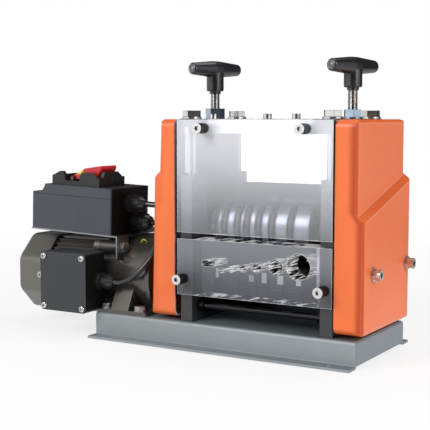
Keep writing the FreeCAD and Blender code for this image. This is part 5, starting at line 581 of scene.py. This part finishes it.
def front_shade_band(tree, sizes, inward, lower_x):
    """1 on the front face near its outer edge, whose X moves inwards over the step; weaker on the left."""
    over_step = ramp(tree, object_place(tree, "Z"), STEP_Z - STEP_HALF_HEIGHT, STEP_Z + STEP_HALF_HEIGHT)
    outer_x = between(tree, over_step, lower_x, lower_x + STEP_DEPTH * inward)
    gap = math_node(tree, "ABSOLUTE", math_node(tree, "SUBTRACT", outer_x, object_place(tree, "X")))
    to_front = ramp(tree, sizes["Y"], 0.8, 0.95)
    if inward > 0:
        to_front = math_node(tree, "MULTIPLY", to_front, 0.25)
    return math_node(tree, "MULTIPLY", ramp(tree, gap, 0.0125, 0.0065), to_front)


# %% Cover finishes
def cover_paint(name, inward, lower_x):
    """Orange outside and pale inside; inward is 1 for the left cover, whose inner faces look towards +X."""
    material = paint(name, (0.86, 0.165, 0.034, 1), 0.36, coat=0.12, peel=0.6, edge=0.0, speck_tone=1.04)
    tree = material.node_tree
    normal = add(tree, "NewGeometry").outputs["Normal"]
    unsigned = add(tree, "VectorMath", {0: normal}, operation="ABSOLUTE").outputs[0]
    sizes = add(tree, "SeparateXYZ", {0: unsigned}).outputs
    to_side = ramp(tree, sizes["X"], 0.9, 0.98)
    # Painted reflection: the side faces are paler higher up.
    painted_side_reflection = math_node(tree, "MULTIPLY", to_side, ramp(tree, object_place(tree, "Z"), 0.08, 0.2))
    tint_over(material, painted_side_reflection, (0.88, 0.225, 0.10, 1))
    # Painted highlight: a pale line along the side faces' sharp edges.
    painted_edge_highlight = math_node(tree, "MULTIPLY", edge_mask(tree, 0.0022, 25.0), to_side)
    tint_over(material, painted_edge_highlight, (1.0, 0.55, 0.38, 1))
    # Painted shade: a deeper orange in the bends and near the front face's outer edge.
    deep = math_node(tree, "MAXIMUM", bend_shade_mask(tree, sizes), front_shade_band(tree, sizes, inward, lower_x))
    tint_over(material, deep, (0.50, 0.062, 0.005, 1))
    inside = math_node(tree, "MULTIPLY", true_normal(tree, "X"), inward)
    tint_over(material, ramp(tree, inside, 0.3, 0.6), (0.52, 0.52, 0.57, 1))
    return material


left_orange = cover_paint("left_cover_paint", 1.0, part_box("left_cover")[0][0])
right_orange = cover_paint("right_cover_paint", -1.0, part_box("right_cover")[1][0])
print("cover paints", left_orange.name, right_orange.name)

# %% [markdown]
# ## Bright metal
#
# Zinc-plated hardware is bright but not a mirror: the plating has faint clouds and fine scratches. Turned
# steel has rings round its axis, and ground plates have lines along one direction. Both are noise that is
# stretched: squeezed hard across the lines and drawn out along them. How strong the lines show in colour
# is a number of its own, because a polished ring has nearly none and a sawn plate has many. Sharp edges of
# hardware get painted shade: they are darker than its faces.


# %% Metal finish
def metal(name, colour, roughness, stretch=None, line_depth=0.25, line_tone=0.9, cloud=0.06,
          edge_radius=0.0004, edge_shade_tone=1.0):
    """Bare or plated metal; stretch draws its lines out, and the edge tone paints shade on its sharp edges.
    """
    material, tree, shader, position = new_finish(name)
    shader.inputs["Metallic"].default_value = 1.0
    clouds = ramp(tree, noise(tree, position, 120.0, 3.0), 0.3, 0.7)
    base = mixed_colour(tree, clouds, shade(colour, 1 - cloud), shade(colour, 1 + cloud))
    lines = noise(tree, position, 1.0, 4.0, 0.6, stretch or (900, 900, 900))
    base = mixed_colour(tree, ramp(tree, lines, 0.35, 0.65), base, shade(colour, line_tone))
    # Painted shade: sharp edges are darker by the edge tone.
    if edge_shade_tone < 1:
        base = mixed_colour(tree, edge_mask(tree, edge_radius * 4, 6.0), base, shade(colour, edge_shade_tone))
    tree.links.new(base, shader.inputs["Base Color"])
    rough = between(tree, lines, roughness - 0.05, roughness + 0.07)
    tree.links.new(rough, shader.inputs["Roughness"])
    normal = bump(tree, lines, 0.00004, line_depth, rounded_normal(tree, edge_radius))
    tree.links.new(normal, shader.inputs["Normal"])
    return material


zinc = metal("bright_zinc", (0.72, 0.715, 0.70, 1), 0.2, line_depth=0.12, edge_shade_tone=0.35)
blue_zinc = metal("blue_zinc", (0.40, 0.50, 0.62, 1), 0.2, line_depth=0.12, edge_shade_tone=0.3)
turned_x = metal("steel_turned_about_x", (0.70, 0.70, 0.72, 1), 0.2, (2600, 2, 2), 0.08, 0.93, 0.03)
blade_ground = metal("ground_blade_steel", (0.34, 0.34, 0.37, 1), 0.24, (3200, 2, 2), 0.1, 0.9, 0.03)
spacer_steel = metal("spacer_steel", (0.27, 0.27, 0.30, 1), 0.33, (2600, 2, 2), 0.1, 0.92, 0.04,
                     edge_radius=0.004)
knurled = metal("knurled_roller_steel", (0.11, 0.105, 0.105, 1), 0.45, (1500, 8, 8), 0.2, 0.9)
dull_zinc = metal("dull_zinc", (0.36, 0.355, 0.34, 1), 0.28, line_depth=0.15, cloud=0.1)
bracket_steel = metal("bracket_steel", (0.30, 0.31, 0.32, 1), 0.32, (300, 20, 300), 0.15, 0.9)
plate_metal = metal("milled_plate", (0.78, 0.78, 0.80, 1), 0.24, (60, 60, 1900), 0.15, 0.94, 0.03,
                    edge_shade_tone=0.1)
insert_metal = metal("insert_metal", (0.20, 0.20, 0.21, 1), 0.5, line_depth=0.3)
carriage_metal = metal("milled_carriage", (0.20, 0.20, 0.23, 1), 0.38, (60, 60, 1500), 0.25, 0.9, 0.04)
block_metal = metal("milled_grey_iron", (0.06, 0.065, 0.075, 1), 0.4, (60, 60, 1500), 0.35, 0.8)
dark_steel = metal("blackened_steel", (0.030, 0.030, 0.033, 1), 0.38, line_depth=0.1)
bearing_metal = metal("bearing_rings", (0.70, 0.70, 0.72, 1), 0.14, (2600, 2, 2), 0.08)
core_iron = metal("core_laminations", (0.26, 0.23, 0.21, 1), 0.42, (2400, 3, 3), 0.6, 0.78)

# %% Top plate: bright front between the two guard screws, painted shade in grey towards its ends
HEAD_MIDDLE_X = 0.0536
PLATE_BRIGHT_HALF = 0.0691
top_plate_metal = metal("top_plate_metal", (0.78, 0.78, 0.80, 1), 0.24, (60, 60, 1900), 0.15, 0.94, 0.03,
                        edge_shade_tone=0.1)
tree = top_plate_metal.node_tree
middle = math_node(tree, "COMPARE", object_place(tree, "X"), HEAD_MIDDLE_X, PLATE_BRIGHT_HALF)
other_faces = math_node(tree, "GREATER_THAN", true_normal(tree, "Y"), -0.5)
painted_end_shade = math_node(tree, "SUBTRACT", 1.0, math_node(tree, "MAXIMUM", middle, other_faces))
tint_over(top_plate_metal, painted_end_shade, (0.22, 0.22, 0.26, 1))
print("bright from", HEAD_MIDDLE_X - PLATE_BRIGHT_HALF, "to", HEAD_MIDDLE_X + PLATE_BRIGHT_HALF)

# %% [markdown]
# ## Screws with a bright end
#
# The guard screws have a blackened, knurled rim, and their end is turned bright. The end is where the
# normal points to the front, so the two tones are mixed by the normal's Y.

# %% Guard screw finish
guard_screw = metal("guard_screw_steel", (0.05, 0.05, 0.055, 1), 0.28, line_depth=0.2)
tree = guard_screw.node_tree
tint_over(guard_screw, ramp(tree, true_normal(tree, "Y"), -0.5, -0.8), (0.70, 0.69, 0.66, 1))
print("tinted", guard_screw.name)

# %% [markdown]
# ## Moulded plastic
#
# The switch box has a fine spark-eroded grain, the handles are smoother, and all of it shows a soft
# sheen. Grain is small bump, in two sizes, and a little variation of roughness where hands have been.
# The right sides of the two black boxes mirror nothing bright in the photograph, so they are darker here.


# %% Plastic finish
def plastic(name, colour, roughness, grain=0.35, grain_scale=1500.0, edge_radius=0.0007, coat=0.0,
            mirror=0.5):
    """Moulded plastic; grain is the depth of its bumps, and mirror how strongly it reflects."""
    material, tree, shader, position = new_finish(name)
    cloud = noise(tree, position, 30.0, 3.0)
    base = mixed_colour(tree, ramp(tree, cloud, 0.35, 0.65), shade(colour, 0.9), shade(colour, 1.12))
    # Painted highlight: sharp edges are painted lighter.
    lighter = mixed_colour(tree, edge_mask(tree, edge_radius, 1.2), base, shade(colour, 1.6))
    tree.links.new(lighter, shader.inputs["Base Color"])
    rough = between(tree, cloud, roughness - 0.05, roughness + 0.07)
    tree.links.new(rough, shader.inputs["Roughness"])
    rounded = rounded_normal(tree, edge_radius)
    fine = bump(tree, noise(tree, position, grain_scale, 1.0), 0.00005, grain, rounded)
    coarse = bump(tree, noise(tree, position, grain_scale / 5, 1.0), 0.00008, grain * 0.3, fine)
    tree.links.new(coarse, shader.inputs["Normal"])
    shader.inputs["Coat Weight"].default_value = coat
    shader.inputs["Specular IOR Level"].default_value = mirror
    return material


box_plastic = plastic("switch_box_plastic", (0.026, 0.028, 0.034, 1), 0.4, mirror=0.85)
for material, shine in ((box_plastic, 0.85), (box_black, 0.5)):
    tree = material.node_tree
    shader = tree.nodes["Principled BSDF"]
    # Painted shade: right-facing faces are painted near black and mirror less.
    right = ramp(tree, true_normal(tree, "X"), 0.6, 0.9)
    shader.inputs["Specular Tint"].default_value = (0.86, 0.91, 1.0, 1)
    tree.links.new(between(tree, right, shine, 0.1), shader.inputs["Specular IOR Level"])
    tint_over(material, right, (0.007, 0.007, 0.007, 1))
black_plastic = plastic("black_plastic", (0.014, 0.014, 0.016, 1), 0.25, grain=0.15)
handle_plastic = plastic("handle_plastic", (0.012, 0.012, 0.015, 1), 0.24, grain=0.15, edge_radius=0.0012,
                         mirror=0.8)
cord_sheath = plastic("cord_sheath", (0.006, 0.006, 0.007, 1), 0.16, grain=0.08, grain_scale=900.0,
                      mirror=0.8)
green_key = plastic("green_key_plastic", (0.02, 0.33, 0.08, 1), 0.3, grain=0.1, coat=0.3)
red_key = plastic("red_key_plastic", (0.60, 0.015, 0.02, 1), 0.28, grain=0.1, coat=0.3)

# %% [markdown]
# ## The lid's seam
#
# Lid and box meet in a fine dark seam that runs round the box. A point's height over the tilted shelf is
# its offset from the bracket's bend, measured along the tilted upward axis. Near the seam's height the
# plastic is dark.

# %% Seam
SEAM_HEIGHT = 0.047
SEAM_HALF_WIDTH = 0.0009
tree = box_plastic.node_tree
offset = add(tree, "VectorMath", {0: tree.nodes["Texture Coordinate"].outputs["Object"],
                                  1: (BOX_PIVOT[0], 0, BOX_PIVOT[1])}, operation="SUBTRACT").outputs[0]
above_shelf = add(tree, "VectorMath", {0: offset, 1: (math.sin(TILT), 0, math.cos(TILT))},
                  operation="DOT_PRODUCT").outputs["Value"]
on_seam = math_node(tree, "COMPARE", above_shelf, SEAM_HEIGHT, SEAM_HALF_WIDTH)
tint_over(box_plastic, on_seam, (0.003, 0.003, 0.003, 1))
print("seam at", SEAM_HEIGHT, "m over the shelf")

# %% [markdown]
# ## The stop flap
#
# The flap is red with a yellow field at its left end. Both are one moulding's surface, so the field is a
# mask in the flap's own coordinates: a span of X, above a height.

# %% Flap finish
YELLOW_X = (-0.2362, -0.2213)
YELLOW_Z = 0.2068
flap_red = plastic("flap_plastic", (0.60, 0.015, 0.025, 1), 0.3, grain=0.1, coat=0.35)
tree = flap_red.node_tree
across = object_place(tree, "X")
field = math_node(tree, "GREATER_THAN", across, YELLOW_X[0])
field = math_node(tree, "MULTIPLY", field, math_node(tree, "LESS_THAN", across, YELLOW_X[1]))
above = math_node(tree, "GREATER_THAN", object_place(tree, "Z"), YELLOW_Z)
tint_over(flap_red, math_node(tree, "MULTIPLY", field, above), (0.80, 0.62, 0.03, 1))
print("yellow from", YELLOW_X[0], "to", YELLOW_X[1])

# %% [markdown]
# ## Striped wire
#
# The earth wire is green and yellow. On such a short wire, diagonal bands of a wave pattern are enough.

# %% Earth wire finish
earth_sheath, tree, shader, position = new_finish("earth_wire_sheath")
stripe = add(tree, "TexWave", {"Vector": position, "Scale": 260.0}, bands_direction="DIAGONAL").outputs["Fac"]
stripe = ramp(tree, stripe, 0.45, 0.55)
tree.links.new(mixed_colour(tree, stripe, (0.75, 0.60, 0.02, 1), (0.03, 0.30, 0.05, 1)),
               shader.inputs["Base Color"])
shader.inputs["Roughness"].default_value = 0.35
print("stripes on", earth_sheath.name)

# %% [markdown]
# ## Clear acrylic
#
# Real refraction would need many samples and would darken everything behind it, because lamps don't
# shine through refracting glass without caustics. A polished sheet is better drawn as mostly
# transparent, with a mirror on top that grows at grazing angles, as Fresnel says. A large soft lamp lays a
# pale veil over such a sheet, strongest near its top, where the lamp stands. A veil adds light, so it is a
# matt shader added to the clear one, and only on the front faces, so that it doesn't count twice. A
# shader sees every normal turned towards the eye, so Backfacing turns it back to find the front.
#
# Sawn edges and bored holes show as bright and dark streaks, since light that travels inside leaves there;
# here the bright streaks are a painted glow, an emission of their own. Those are the faces that don't look
# to the front or back.


# %% Veil and streaks
WHITE = (0.97, 0.97, 0.96, 1)
STREAKS_HALF = 0.0865


def mixed_shader(tree, factor, first, second):
    """The first shader where the factor is 0 and the second where it is 1."""
    return add(tree, "MixShader", {0: factor, 1: first, 2: second}).outputs[0]


def veil_strength(tree, veil, veil_z, marks):
    """A smooth rise from veil[0] to veil[1] between two heights, plus what each mark adds.

    A mark is a rectangle: middle x, half width, middle z, half height, and what it adds.
    """
    x, z = object_place(tree, "X"), object_place(tree, "Z")
    rise = {"Value": z, "From Min": veil_z[0], "From Max": veil_z[1], "To Min": veil[0], "To Max": veil[1]}
    amount = add(tree, "MapRange", rise, interpolation_type="SMOOTHSTEP").outputs["Result"]
    for middle_x, half_width, middle_z, half_height, added in marks:
        in_x = math_node(tree, "COMPARE", x, middle_x, half_width)
        in_z = math_node(tree, "COMPARE", z, middle_z, half_height)
        amount = math_node(tree, "MULTIPLY_ADD", math_node(tree, "MULTIPLY", in_x, in_z), added, amount)
    return amount


def streaks(tree, position, scale, milky):
    """Dark mirrors and bright glow in turn, by stretched noise; beyond the head's middle all is dark."""
    waves = noise(tree, position, 1.0, 3.0, 0.6, scale)
    middle = math_node(tree, "COMPARE", object_place(tree, "X"), HEAD_MIDDLE_X, STREAKS_HALF)
    waves = math_node(tree, "MULTIPLY", waves, middle)
    dark = add(tree, "BsdfGlossy", {"Color": (0.07, 0.07, 0.08, 1), "Roughness": 0.12,
                                    "Normal": bump(tree, waves, 0.0006, 0.6)}).outputs[0]
    glow = add(tree, "Emission", {"Color": WHITE, "Strength": 0.42}).outputs[0]
    bright = add(tree, "AddShader", {0: milky, 1: glow}).outputs[0]
    return mixed_shader(tree, ramp(tree, waves, 0.47, 0.57), dark, bright)


# %% Acrylic finish
def acrylic(name, tint, veil_colour, veil, veil_z, streak_scale, marks):
    """A clear body with a veil on its front, painted pale edge highlights, streaky cut faces, and a mirror on
    top.
    """
    material, tree, shader, position = new_finish(name)
    tree.nodes.remove(shader)
    backfacing = add(tree, "NewGeometry").outputs["Backfacing"]
    facing = true_normal(tree, "Y")
    outward = math_node(tree, "MULTIPLY", facing, between(tree, backfacing, 1.0, -1.0))
    front = math_node(tree, "LESS_THAN", outward, -0.5)
    amount = math_node(tree, "MULTIPLY", veil_strength(tree, veil, veil_z, marks), front, clamp=True)
    body_colour = mixed_colour(tree, amount, tint, shade(tint, 0.5))
    clear = add(tree, "BsdfTransparent", {"Color": body_colour}).outputs[0]
    fog_colour = mixed_colour(tree, amount, (0, 0, 0, 1), veil_colour)
    fog = add(tree, "BsdfDiffuse", {"Color": fog_colour}).outputs[0]
    body = add(tree, "AddShader", {0: clear, 1: fog}).outputs[0]
    milky = mixed_shader(tree, 0.35, add(tree, "BsdfDiffuse", {"Color": WHITE}).outputs[0],
                         add(tree, "BsdfTranslucent", {"Color": WHITE}).outputs[0])
    # Painted highlight: a pale line along the front edges.
    line = math_node(tree, "MULTIPLY", edge_mask(tree, 0.0014, 8.0), 0.8)
    body = mixed_shader(tree, math_node(tree, "MULTIPLY", line, front), body, milky)
    cut = between(tree, ramp(tree, math_node(tree, "ABSOLUTE", facing), 0.5, 0.2), 0.0, 0.95)
    body = mixed_shader(tree, cut, body, streaks(tree, position, streak_scale, milky))
    normal = rounded_normal(tree, 0.0005)
    gloss = add(tree, "BsdfGlossy", {"Color": (1, 1, 1, 1), "Roughness": 0.03, "Normal": normal}).outputs[0]
    fresnel = add(tree, "Fresnel", {"IOR": 1.3, "Normal": normal}).outputs[0]
    mirror = math_node(tree, "MULTIPLY", fresnel, math_node(tree, "SUBTRACT", 1.0, backfacing))
    tree.links.new(mixed_shader(tree, mirror, body, gloss), tree.nodes["Material Output"].inputs["Surface"])
    return material


# %% Painted reflections of three upright strips on the guard: left screw's shank, a line beside it, right post
GUARD_MARKS = [
    (-0.0413, 0.0025, 0.2423, 0.0277, 0.22),
    (-0.0296, 0.0014, 0.2423, 0.0277, 0.14),
    (0.1245, 0.0031, 0.2375, 0.0310, 0.12),
]
guard_acrylic = acrylic("guard_acrylic", (0.95, 0.96, 0.985, 1), (0.93, 0.95, 1.0, 1), (0.17, 0.64),
                        (0.14, 0.262), (30, 30, 9), GUARD_MARKS)
print("finish", guard_acrylic.name)

# %% Painted light on the block: patches below its lanes, a bright right end; painted shade beside the left post
BLOCK_MARKS = [
    (0.0015, 0.0020, 0.0961, 0.0056, 0.20),
    (0.0480, 0.0033, 0.0929, 0.0039, 0.16),
    (0.0650, 0.0032, 0.0946, 0.0059, 0.22),
    (0.0862, 0.0039, 0.0939, 0.0052, 0.25),
    (0.1097, 0.0032, 0.0918, 0.0030, 0.30),
    (-0.0269, 0.0064, 0.1000, 0.0400, -0.03),
    (0.1341, 0.0018, 0.1060, 0.0305, 0.20),
]
block_acrylic = acrylic("block_acrylic", (0.60, 0.61, 0.64, 1), (0.87, 0.90, 1.0, 1), (0.10, 0.24),
                        (0.07, 0.132), (110, 40, 800), BLOCK_MARKS)
print("finish", block_acrylic.name)

# %% [markdown]
# ## Handing out the finishes
#
# One table says which finish each CAD node has. A node keeps its own mesh, and only the material in its
# slots changes.

# %% Finish table
finishes = {
    base_grey: ["base_channel"],
    post_charcoal: ["left_side_frame", "right_side_frame"],
    left_orange: ["left_cover"],
    right_orange: ["right_cover"],
    motor_brown: ["motor_housing", "motor_end_cap"],
    gearbox_brown: ["gearbox_housing"],
    box_black: ["terminal_box", "terminal_box_lid"],
    zinc: ["top_plate_bolts", "cover_bolts", "cover_standoffs", "cap_screws", "small_screws",
           "gearbox_tie_bolts"],
    dull_zinc: ["base_bolts"],
    bracket_steel: ["switch_bracket"],
    blue_zinc: ["adjuster_nuts"],
    top_plate_metal: ["top_plate"],
    plate_metal: ["shaft_coupling"],
    carriage_metal: ["upper_bearing_blocks"],
    block_metal: ["lower_bearing_blocks", "rear_plate"],
    dark_steel: ["tie_rod", "tie_rod_nuts"],
    guard_screw: ["knurled_screws"],
    bearing_metal: ["lower_bearings", "upper_bearings", "drive_bearings"],
    spacer_steel: ["blade_spacers"],
    turned_x: ["blade_shaft", "feed_shaft", "lower_gear", "upper_gear", "output_shaft",
               "countershaft", "lift_springs"],
    blade_ground: ["stripping_blades"],
    knurled: ["feed_roller"],
    core_iron: ["motor_stator", "motor_rotor"],
    box_plastic: ["switch_box", "switch_box_lid"],
    black_plastic: ["switch_module", "cable_glands", "motor_fan"],
    handle_plastic: ["left_t_handle", "right_t_handle"],
    cord_sheath: ["motor_cable", "mains_plug"],
    green_key: ["start_button"],
    red_key: ["stop_button"],
    flap_red: ["stop_flap"],
}
for finish, names in finishes.items():
    for name in names:
        slots = nodes[name].data.materials
        for index in range(len(slots)):
            slots[index] = finish
        if not len(slots):
            slots.append(finish)
finished = [name for names in finishes.values() for name in names]
replaced = {"mains_cord", "mains_cord_coil", "left_adjusting_screw", "right_adjusting_screw", "upper_guard",
            "guide_block"}
print("nodes with no finish:", sorted(set(nodes) - set(finished) - replaced))

# %% Finishes of the pieces made here
new_finishes = {
    "upper_guard_sheet": guard_acrylic, "guide_block_sheet": block_acrylic, "mains_lead": cord_sheath,
    "left_screw_thread": zinc, "right_screw_thread": zinc, "earth_wire": earth_sheath,
    "motor_side_seal": cord_sheath, "upper_seal": cord_sheath, "lower_seal": cord_sheath,
    "start_mark": plate_metal, "stop_mark": plate_metal,
}
for side in ("left", "right"):
    for end in ("front", "back"):
        new_finishes[side + "_handle_" + end + "_insert"] = insert_metal
for name, finish in new_finishes.items():
    bpy.data.objects[name].data.materials.append(finish)
print("pieces made here", len(new_finishes))

# %% [markdown]
# ## Floor, world and lamps
#
# The photograph has a plain white sweep and large soft lamps. The floor is a pale matt sheet. Seen
# directly it is lifted towards white with a share of emission that only the camera and mirrors see, so
# it throws no extra light on the machine, and a soft shadow stays. The share grows with the distance from
# the machine, so that the far floor is as white as the background and no horizon shows.
#
# Bright metal looks like metal only where it has something dark to mirror. In a studio that is the unlit
# room behind the camera. So mirrors see white, except towards the front right and the back, where the
# world and the floor are dark for them, and towards the ceiling, where the world is dim.

# %% Floor
FLOOR_HALF = 6.0
FLOOR_TOP = -0.0006
corners = [(FLOOR_HALF * x, FLOOR_HALF * y, FLOOR_TOP) for x, y in ((-1, -1), (1, -1), (1, 1), (-1, 1))]
floor_mesh = bpy.data.meshes.new("floor")
floor_mesh.from_pydata(corners, [], [(0, 1, 2, 3)])
floor = bpy.data.objects.new("floor", floor_mesh)
bpy.context.scene.collection.objects.link(floor)
floor_finish, tree, shader, position = new_finish("pale_floor")
shader.inputs["Base Color"].default_value = (0.86, 0.86, 0.86, 1)
shader.inputs["Roughness"].default_value = 0.9


def dark_room(tree, direction, mirror_ray):
    """1 for mirror rays that go to the front right or to the back, by their bearing from straight ahead."""
    ahead = math_node(tree, "MULTIPLY", component(tree, direction, "Y"), -1.0)
    bearing = math_node(tree, "ARCTAN2", component(tree, direction, "X"), ahead)
    from_left = ramp(tree, bearing, math.radians(-14), math.radians(-4))
    from_right = ramp(tree, bearing, math.radians(72), math.radians(58))
    front_right = math_node(tree, "MULTIPLY", from_left, from_right)
    back = ramp(tree, math_node(tree, "ABSOLUTE", bearing), math.radians(105), math.radians(125))
    return math_node(tree, "MULTIPLY", math_node(tree, "MAXIMUM", front_right, back), mirror_ray)


def seen_rays(tree, ray):
    """1 for rays that come from the camera, through a clear sheet or off a mirror."""
    direct = math_node(tree, "MAXIMUM", ray["Is Camera Ray"], ray["Is Transmission Ray"])
    return math_node(tree, "MAXIMUM", direct, ray["Is Glossy Ray"])


ray = add(tree, "LightPath").outputs
distance = add(tree, "VectorMath", {0: position}, operation="LENGTH").outputs["Value"]
far = ramp(tree, distance, 0.45, 1.3)
lift = math_node(tree, "MULTIPLY", seen_rays(tree, ray), between(tree, far, 0.78, 1.0))
beyond = math_node(tree, "MULTIPLY", far, ray["Is Glossy Ray"])
glow = between(tree, dark_room(tree, position, beyond), 1.0, 0.06)
lifted = mixed_shader(tree, lift, shader.outputs[0], add(tree, "Emission", {"Strength": glow}).outputs[0])
tree.links.new(lifted, tree.nodes["Material Output"].inputs["Surface"])
floor_mesh.materials.append(floor_finish)
print("floor reaches", FLOOR_HALF, "m each way")

# %% World
world = bpy.data.worlds.new("studio")
bpy.context.scene.world = world
world.use_nodes = True
tree = world.node_tree
background = tree.nodes["Background"]
background.inputs["Color"].default_value = (1, 1, 1, 1)
ray = add(tree, "LightPath").outputs
direction = add(tree, "TexCoord").outputs["Generated"]
room = dark_room(tree, direction, ray["Is Glossy Ray"])
ceiling = ramp(tree, component(tree, direction, "Z"), 0.35, 0.6)
ceiling = math_node(tree, "MULTIPLY", ceiling, ray["Is Glossy Ray"])
level = between(tree, seen_rays(tree, ray), 0.42, 1.0)
level = math_node(tree, "MULTIPLY", level, between(tree, room, 1.0, 0.06))
level = math_node(tree, "MULTIPLY", level, between(tree, ceiling, 1.0, 0.35))
tree.links.new(level, background.inputs["Strength"])
print("world", world.name)


# %% Lamps
def soft_lamp(name, location, target, size, power):
    """A square area lamp that looks at a point."""
    data = bpy.data.lights.new(name, "AREA")
    data.shape = "SQUARE"
    data.size = size
    data.energy = power
    lamp = bpy.data.objects.new(name, data)
    lamp.location = location
    direction = np.array(target) - np.array(location)
    flat = math.hypot(direction[0], direction[1])
    lamp.rotation_euler = (math.atan2(flat, -direction[2]), 0, math.atan2(-direction[0], direction[1]))
    bpy.context.scene.collection.objects.link(lamp)
    return lamp


soft_lamp("key_lamp", (-0.7, -1.6, 1.15), (-0.05, 0, 0.15), 1.0, 20)
soft_lamp("right_lamp", (1.7, -0.5, 0.9), (0.0, 0, 0.15), 0.9, 14)
soft_lamp("top_lamp", (0.1, 0.5, 1.9), (0.0, 0, 0.1), 1.2, 10)
bpy.context.scene.view_settings.view_transform = "Standard"
print("lamps", [lamp.name for lamp in bpy.data.lights])
